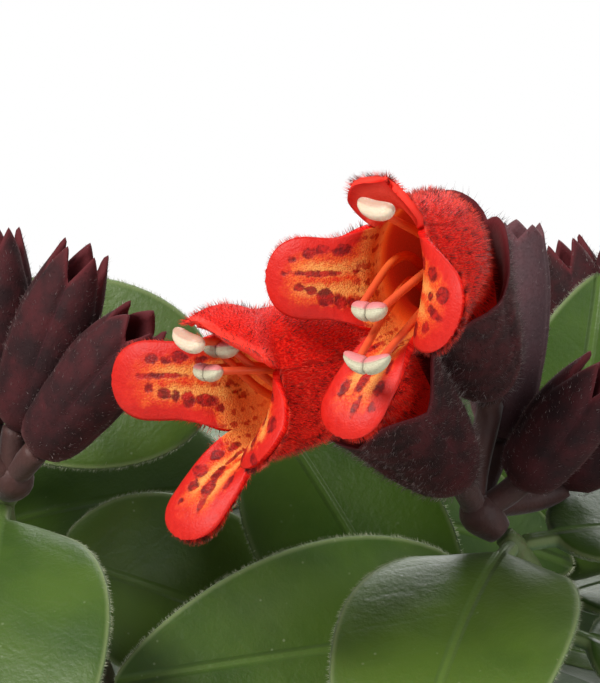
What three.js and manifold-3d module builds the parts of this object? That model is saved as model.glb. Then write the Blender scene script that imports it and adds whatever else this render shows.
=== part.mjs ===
// A potted lipstick plant in flower: trailing stems of thick oval leaves that arch out of a plain pot,
// with bunches of dark hairy calyx cups at their ends and red two-lipped blooms standing out of the cups.
// Millimetres, +Z up. The origin is the middle of the pot's foot, and -Y is the front of the plant.
import * as THREE from "three";
import { mergeGeometries, mergeVertices } from "three/addons/utils/BufferGeometryUtils.js";
import Module from "manifold-3d";

const wasm = await Module();
wasm.setup();

// The pot and what fills it
const POT_HEIGHT = 95;
const POT_FOOT_RADIUS = 42;
const POT_RIM_RADIUS = 58;
const POT_RIM_DEPTH = 17;
const POT_RIM_PROUD = 2.5;
const POT_WALL = 3.2;
const POT_FLOOR = 4;
const POT_SIDES = 24;
const SOIL_TOP = 84;
const SOIL_MOUND = 4;
const CLEARANCE = 0.35;

// Stems and leaves
const STEM_RADIUS = 1.4;
const STEM_SIDES = 4;
const STEM_STEPS = 7;
const ROOT_DEPTH = 15;
const HOLE_RADIUS = 2.7;
const LEAF_LENGTH = 41;
const LEAF_WIDTH = 23;
const LEAF_THICK = 1.9;
const LEAF_FOLD = 0.16;
const LEAF_ARCH = 34;
const PETIOLE = 5;
const PETIOLE_RADIUS = 0.95;
// Where the cross-sections of a blade stand, as shares of its length
const BLADE_STATIONS = [0.17, 0.47, 0.78];
const BLADE_STATIONS_FINE = [0.05, 0.2, 0.42, 0.64, 0.84, 0.95];
const LEAF_PAIRS = 3;
const FIRST_PAIR = 3;
const INTERNODE = 20;
const MOST_BACK = 75;
const BARE_FOOT = 14;

// Calyx cups
const CUP_LENGTH = 23;
const CUP_WALL = 0.8;
const CUP_FLOOR = 0.1;
const DIMPLE_FLOOR = 0.75;
// The part of a cup's length above which its corners belong to the lip
const LIP_SHARE = 0.95;
const CUP_TEETH = 5;
const TOOTH_LENGTH = 3.4;
const PEDICEL_RADIUS = 1.25;
// Outer radii of the cups as [share of the length, radius], from the foot to the lip
const OPEN_CUP_FINE = [[0, 0], [0.1, 3], [0.4, 5.3], [0.7, 6.3], [1, 7.5]];
const OPEN_CUP = [[0, 0], [0.1, 3], [0.45, 5.6], [1, 7.2]];
const SHUT_CUP_FINE = [[0, 0], [0.1, 2.7], [0.38, 4.1], [0.72, 4.2], [1, 3.2]];
const SHUT_CUP = [[0, 0], [0.12, 2.9], [0.58, 4.3], [1, 3.3]];
const STALK_SUNK = 1.2;
// The knob that the stalks of a bunch leave, as [height, radius]
const KNOB = [[0, 0], [0, 1.5], [3.2, 2.9], [6, 0]];
const FORK_HEIGHT = 3;
const FORK_SPREAD = 0.07;

// Blooms
const PETAL_WALL = 0.75;
const TUBE_FOOT_RADIUS = 1.8;
const TUBE_FOOT = 0.14;
const THROAT_RADIUS = 7.6;
const THROAT_SQUEEZE = 0.58;
const LOBE_END = 2.3;
const FILAMENT_RADIUS = 0.55;

// The round of the plant, and what its leaves leave clear
const PLANT_CENTRE = new THREE.Vector3(0, 0, 90);
const PLANT_ROUND = new THREE.Vector3(100, 100, 92);
// Stems bear no leaves in the dark middle of the plant, inside this share of its round
const BARE_CORE = 0.56;
const CANOPY_TOP = 184;
const LOWEST_LEAF = 42;
// In front of this, above this height and within this half width only the front bunches and their leaves show
const FRONT_CLEAR = { x: 42, y: -46, z: 149 };

// Which of the other stems end in a bunch, and in which of those a bloom is open
const BUNCHES = [4, 5, 7, 9, 12, 13];
const FLOWERING = [5, 7, 9, 12];

const RED = new THREE.MeshStandardMaterial({ name: "petal_red", color: 0xd8200f, roughness: 0.55 });
const MAROON = new THREE.MeshStandardMaterial({ name: "calyx_maroon", color: 0x3a1018, roughness: 0.75 });
const GREEN = new THREE.MeshStandardMaterial({ name: "leaf_green", color: 0x35502a, roughness: 0.5 });
const CREAM = new THREE.MeshStandardMaterial({ name: "anther_cream", color: 0xd8c9b0, roughness: 0.6 });
const CLAY = new THREE.MeshStandardMaterial({ name: "pot_clay", color: 0xb0623f, roughness: 0.8 });
const EARTH = new THREE.MeshStandardMaterial({ name: "soil", color: 0x2b1d14, roughness: 1 });

const UP = new THREE.Vector3(0, 0, 1);
const point = (x, y, z) => new THREE.Vector3(x, y, z);
const lerp = THREE.MathUtils.lerp;
const rad = THREE.MathUtils.degToRad;
const smooth = (x) => THREE.MathUtils.smoothstep(x, 0, 1);

// A spread of numbers from 0 to 1 that looks random and is the same every time
const scatter = (index, channel) => {
  const turned = Math.sin(index * 12.9898 + channel * 78.233) * 43758.5453;
  return turned - Math.floor(turned);
};

// The part of a vector that is square to an axis, at unit length
const squareTo = (vector, axis) => vector.clone().addScaledVector(axis, -vector.dot(axis)).normalize();

// Closed geometry to a solid that can be joined and cut
function solid(geometry) {
  const bare = new THREE.BufferGeometry();
  bare.setAttribute("position", geometry.getAttribute("position").clone());
  bare.setIndex(geometry.index ? geometry.index.clone() : [...Array(bare.attributes.position.count).keys()]);
  const merged = mergeVertices(bare, 1e-4);
  const corners = merged.index.array;
  const triangles = [];
  for (let i = 0; i < corners.length; i += 3) {
    const [a, b, c] = corners.slice(i, i + 3);
    if (a !== b && b !== c && c !== a) triangles.push(a, b, c);
  }
  const build = (order) => new wasm.Manifold(new wasm.Mesh({
    numProp: 3,
    vertProperties: new Float32Array(merged.attributes.position.array),
    triVerts: new Uint32Array(order),
  }));
  const made = build(triangles);
  return made.volume() > 0 ? made : build(triangles.reverse());
}

// A joined or cut solid back to geometry
function geometryOf(made) {
  const { numProp, vertProperties, triVerts } = made.getMesh();
  const places = [];
  for (let i = 0; i < vertProperties.length; i += numProp) places.push(...vertProperties.slice(i, i + 3));
  const geometry = new THREE.BufferGeometry();
  geometry.setAttribute("position", new THREE.Float32BufferAttribute(places, 3));
  geometry.setIndex([...triVerts]);
  geometry.computeVertexNormals();
  return geometry;
}

const join = (solids) => solids.reduce((whole, piece) => whole.add(piece));

// Moves every corner of a geometry to where place(corner) says
function reshape(geometry, place) {
  const at = geometry.attributes.position;
  const corner = new THREE.Vector3();
  for (let i = 0; i < at.count; i++) {
    const moved = place(corner.fromBufferAttribute(at, i));
    at.setXYZ(i, moved.x, moved.y, moved.z);
  }
  return geometry;
}

// A round body that follows a line: stations are [share along, radius], closed at both ends
function turned(stations, sides, line) {
  const profile = stations.map(([share, radius]) => new THREE.Vector2(radius, share));
  const lathe = new THREE.LatheGeometry(profile, sides);
  return reshape(lathe, ({ x, y, z }) => {
    const { centre, up, side } = line(y);
    return centre.clone().addScaledVector(side, x).addScaledVector(up, z);
  });
}

// A rod of even thickness along a curve
function rod(curve, radius, sides, steps) {
  const ring = Array.from({ length: sides }, (_, i) => {
    const angle = (2 * Math.PI * i) / sides;
    return new THREE.Vector2(radius * Math.cos(angle), radius * Math.sin(angle));
  });
  const section = new THREE.Shape(ring);
  return solid(new THREE.ExtrudeGeometry(section, { steps, bevelEnabled: false, extrudePath: curve }));
}

// A sheet made of grids, given a thickness on its inner side and closed all round its edges
function thicken(grids, thickness) {
  grids.forEach((grid) => {
    grid.deleteAttribute("normal");
    grid.deleteAttribute("uv");
  });
  const merged = mergeVertices(mergeGeometries(grids), 1e-3);
  const corners = merged.index.array;
  const triangles = [];
  for (let i = 0; i < corners.length; i += 3) {
    const triangle = [...corners.slice(i, i + 3)];
    if (new Set(triangle).size === 3) triangles.push(triangle);
  }
  merged.setIndex(triangles.flat());
  merged.computeVertexNormals();
  const outer = merged.attributes.position;
  const normals = merged.attributes.normal;
  const count = outer.count;
  const places = [...outer.array];
  for (let i = 0; i < count; i++) {
    places.push(
      outer.getX(i) - thickness * normals.getX(i),
      outer.getY(i) - thickness * normals.getY(i),
      outer.getZ(i) - thickness * normals.getZ(i),
    );
  }
  const faces = triangles.flatMap(([a, b, c]) => [a, b, c, c + count, b + count, a + count]);
  const edges = new Set();
  const sides = ([a, b, c]) => [[a, b], [b, c], [c, a]];
  triangles.flatMap(sides).forEach(([a, b]) => edges.add(`${a}_${b}`));
  triangles.flatMap(sides).forEach(([a, b]) => {
    if (!edges.has(`${b}_${a}`)) faces.push(b, a, a + count, b, a + count, b + count);
  });
  const closed = new THREE.BufferGeometry();
  closed.setAttribute("position", new THREE.Float32BufferAttribute(places, 3));
  closed.setIndex(faces);
  return solid(closed);
}

// A flat grid whose corners are placed by a function of u and v, each from 0 to 1
function grid(columns, rows, place) {
  return reshape(new THREE.PlaneGeometry(1, 1, columns, rows), ({ x, y }) => place(x + 0.5, y + 0.5));
}

// Leaves

// Half the width of a blade at a share of its length: broad and round at the base, blunt at the tip
const bladeHalfWidth = (share, width) =>
  (width / 2) * Math.sin(Math.PI * share ** 0.72) ** (0.62 + 0.1 * share);

// A leaf at its place. The stalk starts inside the stem. "along" is where it points, "face" where it looks
function leaf({ base, along, face, size, arch = LEAF_ARCH, fine = false }, extra = 0, bladeOnly = false) {
  const length = LEAF_LENGTH * size;
  const whole = PETIOLE + length;
  const width = LEAF_WIDTH * size;
  const stalk = PETIOLE_RADIUS + extra / 2;
  const stations = [[0, 0, 0], [0.01, stalk, stalk], [PETIOLE / whole, stalk, stalk]];
  for (const share of fine ? BLADE_STATIONS_FINE : BLADE_STATIONS) {
    const half = bladeHalfWidth(share, width) + extra / 2;
    const thick = (LEAF_THICK / 2) * (1 - 0.55 * share) + extra / 2;
    stations.push([(PETIOLE + share * length) / whole, half, thick]);
  }
  stations.push([1 + extra / 2 / whole, 0, 0]);
  if (bladeOnly) stations.splice(0, 3, [PETIOLE / whole, 0, 0]);
  const profile = stations.map(([share, half]) => new THREE.Vector2(half, share));
  const lathe = new THREE.LatheGeometry(profile, 4);
  const lateral = along.clone().cross(face).normalize();
  const bend = rad(arch) / whole;
  return solid(reshape(lathe, ({ x, y, z }) => {
    const station = stations.reduce((best, s) => (Math.abs(s[0] - y) < Math.abs(best[0] - y) ? s : best));
    const run = y * whole;
    const fold = run > PETIOLE ? LEAF_FOLD * Math.abs(x) : 0;
    const rise = (station[1] ? (z / station[1]) * station[2] : 0) + fold;
    const angle = bend * run;
    return base.clone()
      .addScaledVector(lateral, x)
      .addScaledVector(along, Math.sin(angle) / bend + rise * Math.sin(angle))
      .addScaledVector(face, (Math.cos(angle) - 1) / bend + rise * Math.cos(angle));
  }));
}

// Turns a leaf's pose to one side and lets it droop
function swayed({ base, along, face, size }, turn, droop, scale) {
  const heading = along.clone().applyAxisAngle(face, rad(turn));
  const lateral = heading.clone().cross(face).normalize();
  return {
    base,
    along: heading.applyAxisAngle(lateral, rad(-droop)),
    face: face.clone().applyAxisAngle(lateral, rad(-droop)),
    size: size * scale,
  };
}

// The pose of a leaf from its heading and the way it would like to look
function pose(base, heading, look, size) {
  const along = heading.clone().normalize();
  return { base, along, face: squareTo(look, along), size };
}

// Calyx cups

// The profile of a cup as [share of its length, radius]: up the outside, round the lip, down the inside.
// A cup that holds a bloom is flared and deep, and a shut one has a shallow dimple between its teeth
function cupProfile({ open, fine }) {
  if (open) {
    const radii = fine ? OPEN_CUP_FINE : OPEN_CUP;
    const inside = radii.slice(1).reverse();
    return [
      ...radii,
      ...inside.map(([share, radius]) => [lerp(share, 1, 0.05), radius - CUP_WALL]),
      [CUP_FLOOR, 0],
    ];
  }
  return [...(fine ? SHUT_CUP_FINE : SHUT_CUP), [DIMPLE_FLOOR, 0]];
}

// A calyx cup with its stalk, which leaves the fork of the bunch and is sunk into the cup's foot. Its rim
// may be taller by "tall" on the side at the angle "tallAt"
function cup({ foot, mouth, open, fine, tooth = TOOTH_LENGTH, tall = 0, tallAt = 0 }, fork, direction) {
  const axis = mouth.clone().sub(foot).normalize();
  const length = mouth.distanceTo(foot);
  const up = squareTo(Math.abs(axis.z) > 0.95 ? point(0, 1, 0) : UP, axis);
  const side = axis.clone().cross(up);
  const line = (share) => ({ centre: foot.clone().addScaledVector(axis, share * length), up, side });
  const shell = reshape(turned(cupProfile({ open, fine }), 2 * CUP_TEETH, line), (corner) => {
    const offset = corner.clone().sub(foot);
    if (offset.dot(axis) < LIP_SHARE * length) return corner;
    // Every second corner of the rim is drawn out to a tooth, and the ones between are drawn back.
    const angle = Math.atan2(offset.dot(side), offset.dot(up));
    const taller = tall * Math.max(0, Math.cos(angle - rad(tallAt)));
    return corner.clone().addScaledVector(axis, (Math.cos(CUP_TEETH * angle) * tooth) / 2 + taller);
  });
  const reach = foot.distanceTo(fork);
  const stalk = rod(new THREE.CubicBezierCurve3(
    fork.clone().addScaledVector(foot.clone().sub(fork), -FORK_SPREAD),
    fork.clone().addScaledVector(direction, 0.3 * reach),
    foot.clone().addScaledVector(axis, -0.3 * reach),
    foot.clone().addScaledVector(axis, STALK_SUNK),
  ), PEDICEL_RADIUS, fine ? 4 : 3, fine ? 3 : 1);
  return stalk.add(solid(shell));
}

// Blooms

// The line through the middle of a bloom's tube: straight in its cup, then curving to the throat
function tubeLine({ cup: { foot, mouth }, throat, forward, up }) {
  const axis = mouth.clone().sub(foot).normalize();
  const start = foot.clone().addScaledVector(axis, TUBE_FOOT * mouth.distanceTo(foot));
  const reach = throat.distanceTo(mouth);
  const curve = new THREE.CubicBezierCurve3(
    mouth,
    mouth.clone().addScaledVector(axis, 0.4 * reach),
    throat.clone().addScaledVector(forward, -0.4 * reach),
    throat,
  );
  return (share) => {
    const inCup = share < 0.5;
    const centre = inCup ? start.clone().lerp(mouth, 2 * share) : curve.getPoint(2 * share - 1);
    const tangent = inCup ? axis.clone() : curve.getTangent(2 * share - 1);
    const across = squareTo(up, tangent);
    return { centre, up: across, side: tangent.clone().cross(across), tangent };
  };
}

const tubeRadius = (share) =>
  TUBE_FOOT_RADIUS + (THROAT_RADIUS - TUBE_FOOT_RADIUS) * Math.sin((Math.PI / 2) * share ** 1.15);

// The tube is round in its cup and narrower from side to side at the throat
const tubeSqueeze = (share) => lerp(1, THROAT_SQUEEZE, share * share);

// A point on the rim of the throat, at an angle from the top
function rimPoint({ throat, forward, up }, angle) {
  const side = forward.clone().cross(up);
  return throat.clone()
    .addScaledVector(up, THROAT_RADIUS * Math.cos(rad(angle)))
    .addScaledVector(side, THROAT_RADIUS * THROAT_SQUEEZE * Math.sin(rad(angle)));
}

// A petal lobe grows on from its share of the throat's rim, towards the angle "aim" from the top. Its
// middle line bends outwards from "leave" to "spread" degrees off the bloom's axis. It flattens on the
// way by the share "flat", and its end is as round as half its width allows
function lobe(bloom, { middle, half, aim, length, width, leave, spread, flat }, columns, rows) {
  const { forward, up } = bloom;
  const side = forward.clone().cross(up);
  const out = up.clone().multiplyScalar(Math.cos(rad(aim))).addScaledVector(side, Math.sin(rad(aim)));
  const across = forward.clone().cross(out);
  const root = rimPoint(bloom, middle);
  const steps = 12;
  const roundFrom = 1 - (0.5 * width) / length;
  return grid(columns, rows, (u, v) => {
    const reach = 1 - (1 - v) ** 1.8;
    const rim = rimPoint(bloom, middle + half * (2 * u - 1));
    const rimAcross = rim.clone().sub(root).dot(across);
    const rimSag = root.clone().sub(rim).dot(out);
    const place = rim.clone();
    for (let i = 0; i < steps; i++) {
      const angle = rad(lerp(leave, spread, smooth((reach * (i + 0.5)) / steps)));
      place.addScaledVector(forward, (Math.cos(angle) * length * reach) / steps);
      place.addScaledVector(out, (Math.sin(angle) * length * reach) / steps);
    }
    const end = Math.max(0, (reach - roundFrom) / (1 - roundFrom));
    const taper = (1 - Math.min(1, end) ** LOBE_END) ** (1 / LOBE_END);
    const wide = lerp(rimAcross, (u - 0.5) * width, smooth(2.2 * reach)) * taper;
    const lean = rad(lerp(leave, spread, smooth(reach))) * smooth(3 * reach);
    const settled = rimSag * smooth(1.3 * reach);
    const flatten = settled * (1 - (1 - flat) * taper) * Math.cos(lean);
    const even = settled * Math.sin(lean);
    return place
      .addScaledVector(across, wide - rimAcross)
      .addScaledVector(out, flatten * Math.cos(lean) + even * Math.sin(lean))
      .addScaledVector(forward, even * Math.cos(lean) - flatten * Math.sin(lean));
  });
}

// The four lobes round a throat: a short hood over it, one on each side and a lip below. A bloom may have
// some that differ from the usual ones
const LOBES = [
  { name: "hood", middle: 0, half: 47, aim: 0, length: 7.5, width: 8.6, leave: 8, spread: 6, flat: 0.5 },
  { name: "left", middle: 92, half: 45, aim: 92, length: 9.6, width: 8, leave: 22, spread: 60, flat: 1 },
  { name: "lip", middle: 180, half: 43, aim: 180, length: 10.6, width: 6.6, leave: 25, spread: 62, flat: 1 },
  { name: "right", middle: 268, half: 45, aim: 268, length: 9.6, width: 8, leave: 22, spread: 60, flat: 1 },
];
const lobesOf = ({ lobes = {} }) => LOBES.map((usual) => ({ ...usual, ...lobes[usual.name] }));

// The red tube with its lobes, one thin wall
function corolla(bloom) {
  const line = tubeLine(bloom);
  const { columns, rows, lobeRows } = bloom.fine
    ? { columns: [4, 4, 4, 4], rows: 4, lobeRows: 5 }
    : { columns: [2, 2, 2, 2], rows: 3, lobeRows: 3 };
  const lobes = lobesOf(bloom);
  const grids = lobes.map((shape, i) => lobe(bloom, shape, columns[i], lobeRows));
  lobes.forEach(({ middle, half }, i) => {
    grids.push(grid(columns[i], rows, (u, v) => {
      const angle = rad(middle + half * (2 * u - 1));
      if (v === 1) return rimPoint(bloom, THREE.MathUtils.radToDeg(angle));
      const { centre, up, side } = line(v);
      const radius = tubeRadius(v);
      return centre.clone()
        .addScaledVector(up, radius * Math.cos(angle))
        .addScaledVector(side, radius * tubeSqueeze(v) * Math.sin(angle));
    }));
  });
  return thicken(grids, PETAL_WALL);
}

// Stamens and style of a bloom: rods that stand round a disc in the foot of the tube and reach out of its
// mouth, with a crescent on the end of each pair and a stigma on the style
function stamens(bloom) {
  const line = tubeLine(bloom);
  const { throat, forward, up, fine } = bloom;
  const side = forward.clone().cross(up);
  const outside = ([ahead, over, beside]) => throat.clone()
    .addScaledVector(forward, ahead).addScaledVector(up, over).addScaledVector(side, beside);
  const inside = (share, angle, spread) => {
    const at = line(share);
    return at.centre.clone()
      .addScaledVector(at.up, spread * Math.cos(rad(angle)))
      .addScaledVector(at.side, spread * tubeSqueeze(share) * Math.sin(rad(angle)));
  };
  const filament = (angle, end) => rod(new THREE.CatmullRomCurve3([
    inside(0.13, angle, 1.1), inside(0.5, angle, 2.8), inside(0.88, angle, 3.8), end,
  ]), FILAMENT_RADIUS, 3, fine ? 6 : 3);
  const crescent = (middle, halfWidth, radius, rise) => {
    const stations = fine
      ? [[0, 0], [0.12, 0.7], [0.5, 1], [0.88, 0.7], [1, 0]]
      : [[0, 0], [0.3, 0.95], [0.7, 0.95], [1, 0]];
    const profile = stations.map(([share, size]) => [share, size * radius]);
    return solid(turned(profile, fine ? 5 : 4, (share) => {
      const across = 2 * share - 1;
      const centre = middle.clone().addScaledVector(side, halfWidth * across);
      return { centre: centre.addScaledVector(up, rise * across * across), up, side: forward };
    }));
  };
  const pieces = [];
  bloom.anthers.forEach(([ahead, over, beside], pair) => {
    const middle = outside([ahead, over, beside]);
    const angles = pair ? [125, 235] : [75, 285];
    angles.forEach((angle) => {
      const hand = angle < 180 ? 1 : -1;
      pieces.push(filament(angle, middle.clone().addScaledVector(side, 1.2 * hand).addScaledVector(up, 0.3)));
    });
    pieces.push(crescent(middle, 2.5, 0.9, 0.6));
  });
  const stigma = outside(bloom.stigma);
  pieces.push(filament(0, stigma), crescent(stigma, 1.9, 0.95, -0.3));
  const disc = turned([[0.1, 0], [0.1, 1.6], [0.15, 1.7], [0.15, 0]], 6, line);
  return join([solid(disc), ...pieces]);
}

// Where everything grows

// The blooms of the front bunch, which face the viewer. Anthers and stigma are given as far ahead of the
// throat, over its middle and to its side as they reach.
const BLOOM_A = {
  cup: {
    foot: point(20.6, -38, 181.5), mouth: point(14.8, -56.5, 195.5), open: true, fine: true,
    tall: 3.6, tallAt: -45,
  },
  throat: point(9.7, -74, 196.8),
  forward: point(-0.57, -0.82, 0).normalize(),
  anthers: [[7, -2.8, -1.3], [9.2, -7.8, -2.5]],
  stigma: [6.3, 7.1, -1.6],
  lobes: {
    hood: { aim: -26, length: 4.8, width: 8.4, leave: 22, spread: 40, flat: 0.2 },
    left: { aim: 87, width: 7.6 },
    lip: { aim: 166, length: 10.8, width: 6.4, spread: 66 },
    right: { aim: 240, length: 10.2, width: 8.6, spread: 74 },
  },
  fine: true,
};
const BLOOM_B = {
  cup: { foot: point(17.2, -42.5, 172), mouth: point(7.4, -57, 184.5), open: true, fine: true },
  throat: point(-4.8, -70, 185.6),
  forward: point(-0.72, -0.69, 0).normalize(),
  anthers: [[6, 1.7, 0], [4.3, 3.9, 0]],
  stigma: [8.3, 4.9, 0.3],
  lobes: {
    hood: { middle: -15, half: 60, length: 8.6, width: 9.6, leave: 20, spread: -30, flat: 0.05 },
    left: { middle: 88, half: 43, aim: 90, length: 11, width: 7.4 },
    lip: { middle: 174, aim: 167, length: 10.8, spread: 58 },
    right: { middle: 251, half: 34, aim: 214, length: 7.2, width: 7.4, leave: 30, spread: 50 },
  },
  fine: true,
};
const shut = (foot, mouth, fine = false, tooth = TOOTH_LENGTH) =>
  ({ foot: point(...foot), mouth: point(...mouth), open: false, fine, tooth });

// The stems. Each gives its foot in the soil, how high it rises before it turns, the point that it leans
// over to and its end. Leaves posed by hand give the distance from the end, heading, look and size.
const STEMS = [
  {
    foot: [12, -14], rise: 62, over: [37, -33, 151], tip: [22, -37.5, 165.5],
    leaves: [
      { back: 1.5, heading: [-0.3, -0.93, -0.12], look: [0, -0.3, 1], size: 1.08, arch: 56 },
      { back: 1.5, heading: [0.85, 0.35, 0.12], look: [0, -0.45, 0.9], size: 0.9 },
      { back: 13, heading: [-0.94, -0.36, -0.02], look: [-0.25, -0.88, 0.42], size: 1.06, arch: 14 },
      { back: 13, heading: [0.9, 0.1, -0.3], look: [0.2, -0.5, 0.8], size: 0.95 },
    ],
    blooms: [BLOOM_A, BLOOM_B],
    cups: [
      shut([21.6, -33, 174.8], [23.4, -33.5, 198.4], true, 1.6),
      shut([23, -38, 170.6], [32, -40.5, 183], true),
      shut([28.4, -30, 169.5], [39, -32, 183.5], true),
    ],
  },
  {
    foot: [-12, -12], rise: 66, over: [-36, -26, 161], tip: [-31, -45.5, 171.5],
    leaves: [
      { back: 3, heading: [-0.03, -0.93, -0.32], look: [0, -0.3, 1], size: 1.12, arch: 54 },
      { back: 1.5, heading: [-0.8, 0.3, 0.3], look: [-0.2, -0.4, 0.9], size: 0.9 },
      { back: 13, heading: [0.78, 0.1, -0.22], look: [0, -0.85, 0.5], size: 1 },
      { back: 13, heading: [-0.9, -0.2, -0.1], look: [-0.1, -0.7, 0.7], size: 1 },
    ],
    cups: [
      shut([-30, -50, 178], [-22.8, -53.5, 196.5]),
      shut([-32.5, -47.5, 178], [-32, -46.5, 198]),
      shut([-28, -51.5, 176], [-16.4, -58, 190.4], false, 2.2),
      shut([-34.5, -50, 177], [-44, -55, 193]),
    ],
  },
  {
    foot: [18, 2], rise: 75, over: [34, 8, 158], tip: [35, 6, 171],
    leaves: [
      { back: 8, heading: [0.85, -0.5, -0.05], look: [0.1, -0.4, 0.9], size: 0.95 },
      { back: 8, heading: [-0.85, 0.15, -0.1], look: [-0.1, -0.9, 0.4], size: 0.9 },
      { back: 22, heading: [0.14, -0.55, 0.82], look: [0, -1, -0.2], size: 0.92, arch: 50 },
      { back: 22, heading: [0.75, 0.6, 0.2], look: [0.3, -0.2, 0.9], size: 1 },
    ],
    cups: [
      shut([36, 8.5, 176.5], [31, 9, 192]),
      shut([37, 9.5, 176.5], [39, 8, 194]),
      shut([38, 11, 175.5], [47, 14, 190]),
    ],
  },
  {
    foot: [-3, -2], rise: 66, over: [0, -4, 170], tip: [-5, -22, 179],
    leaves: [
      { back: 1.5, heading: [-0.93, -0.1, 0.17], look: [-0.1, -0.95, 0.3], size: 0.95 },
      { back: 1.5, heading: [0.5, -0.62, -0.6], look: [0, -0.75, 0.66], size: 0.95 },
      { back: 17, heading: [-0.97, 0.15, -0.02], look: [-0.1, -0.75, 0.66], size: 1 },
      { back: 17, heading: [0.9, 0.02, -0.15], look: [0.1, -0.9, 0.4], size: 0.8 },
    ],
  },
  { foot: [-14, 16], rise: 78, over: [-36, 20, 174], tip: [-56, 24, 160] },
  { foot: [14, 20], rise: 78, over: [30, 36, 174], tip: [50, 46, 160] },
  { foot: [-2, 12], rise: 70, over: [-4, 32, 176], tip: [-10, 50, 158] },
  ...[-108, -62, -14, 30, 84, 132, 188].map((bearing, i) => {
    const [x, y] = [Math.cos(rad(bearing)), Math.sin(rad(bearing))];
    const reach = 86 + 12 * scatter(i, 1);
    const end = 108 + 22 * scatter(i, 2);
    return {
      foot: [30 * x, 30 * y],
      rise: 48 + 10 * scatter(i, 3),
      over: [0.62 * reach * x, 0.62 * reach * y, end + 30],
      tip: [reach * x, reach * y, end],
    };
  }),
  ...[-86, -38, 56, 158, 212].map((bearing, i) => {
    const [x, y] = [Math.cos(rad(bearing)), Math.sin(rad(bearing))];
    const reach = 98 + 10 * scatter(i, 4);
    return {
      foot: [43 * x, 43 * y],
      rise: 42,
      over: [0.8 * reach * x, 0.8 * reach * y, 118 + 8 * scatter(i, 5)],
      tip: [reach * x, reach * y, 70 + 16 * scatter(i, 6)],
    };
  }),
];

const stemCurve = ({ foot: [x, y], rise, over, tip }) => new THREE.CubicBezierCurve3(
  point(x, y, SOIL_TOP - ROOT_DEPTH),
  point(x, y, SOIL_TOP - ROOT_DEPTH + rise),
  point(...over),
  point(...tip),
);

// Pieces that are already in place, which a leaf has to clear
const placed = [];
const settle = (body, stem, blade = false) => placed.push({ body, stem, blade, box: body.boundingBox() });
const boxesMeet = (a, b) => [0, 1, 2].every((i) => a.min[i] < b.max[i] && b.min[i] < a.max[i]);
const isClear = (body, against) => {
  const box = body.boundingBox();
  return against.every((other) => !boxesMeet(box, other.box) || body.intersect(other.body).isEmpty());
};

const plant = new THREE.Group();
function addPiece(name, body, material) {
  const mesh = new THREE.Mesh(geometryOf(body), material);
  mesh.name = name;
  plant.add(mesh);
}

// The bunch of cups at a stem's end, with its stalks. It starts just clear of the stem
function bunch(tip, direction, cups) {
  const root = tip.clone().addScaledVector(direction, CLEARANCE);
  const fork = root.clone().addScaledVector(direction, FORK_HEIGHT);
  const knob = turned(KNOB, 6, (height) => {
    const up = squareTo(Math.abs(direction.z) > 0.95 ? point(0, 1, 0) : UP, direction);
    return { centre: root.clone().addScaledVector(direction, height), up, side: direction.clone().cross(up) };
  });
  return join([solid(knob), ...cups.map((shape) => cup(shape, fork, direction))]);
}

// Cups and blooms of a stem that has none given: they stand up and outwards from its end
function looseBunch(tip, index, flowering) {
  const outward = point(tip.x, tip.y, 0).normalize();
  const sideways = UP.clone().cross(outward);
  const cups = [-1, 0, 1].map((place) => {
    const lean = UP.clone().multiplyScalar(0.8)
      .addScaledVector(outward, 0.45 - 0.35 * Math.abs(place))
      .addScaledVector(sideways, 0.9 * place)
      .normalize();
    const foot = tip.clone().addScaledVector(outward, 2).addScaledVector(lean, 8);
    return { foot, mouth: foot.clone().addScaledVector(lean, CUP_LENGTH - 3), open: false, fine: false };
  });
  if (!flowering) return { cups, blooms: [] };
  const open = { ...cups[1], open: true };
  const axis = open.mouth.clone().sub(open.foot).normalize();
  const turn = 0.3 * (scatter(index, 9) - 0.5);
  const forward = outward.clone().addScaledVector(UP, 0.15).addScaledVector(sideways, turn);
  return {
    cups: [cups[0], cups[2]],
    blooms: [{
      cup: open,
      throat: open.mouth.clone().addScaledVector(axis, 8).addScaledVector(outward, 11),
      forward: forward.normalize(),
      anthers: [[9, -1, 0]],
      stigma: [9, 5.5, 0],
      fine: false,
    }],
  };
}

// The pot: a plain tapered cylinder with a band round its rim
const innerRadius = (z) => lerp(POT_FOOT_RADIUS, POT_RIM_RADIUS - POT_RIM_PROUD, z / POT_HEIGHT) - POT_WALL;
const outerRadius = (z) => innerRadius(z) + POT_WALL;
const bandFoot = POT_HEIGHT - POT_RIM_DEPTH;
const potProfile = [
  [0, 0], [POT_FOOT_RADIUS - 2, 0], [outerRadius(2), 2], [outerRadius(bandFoot), bandFoot],
  [POT_RIM_RADIUS, bandFoot + 1.5], [POT_RIM_RADIUS, POT_HEIGHT - 1], [POT_RIM_RADIUS - 1, POT_HEIGHT],
  [innerRadius(POT_HEIGHT) + 1, POT_HEIGHT], [innerRadius(POT_HEIGHT), POT_HEIGHT - 1],
  [innerRadius(POT_FLOOR), POT_FLOOR], [0, POT_FLOOR],
];
const pot = solid(new THREE.LatheGeometry(potProfile.map(([r, z]) => new THREE.Vector2(r, z)), POT_SIDES)
  .rotateX(Math.PI / 2));
addPiece("pot", pot, CLAY);
settle(pot, "pot");

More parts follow.
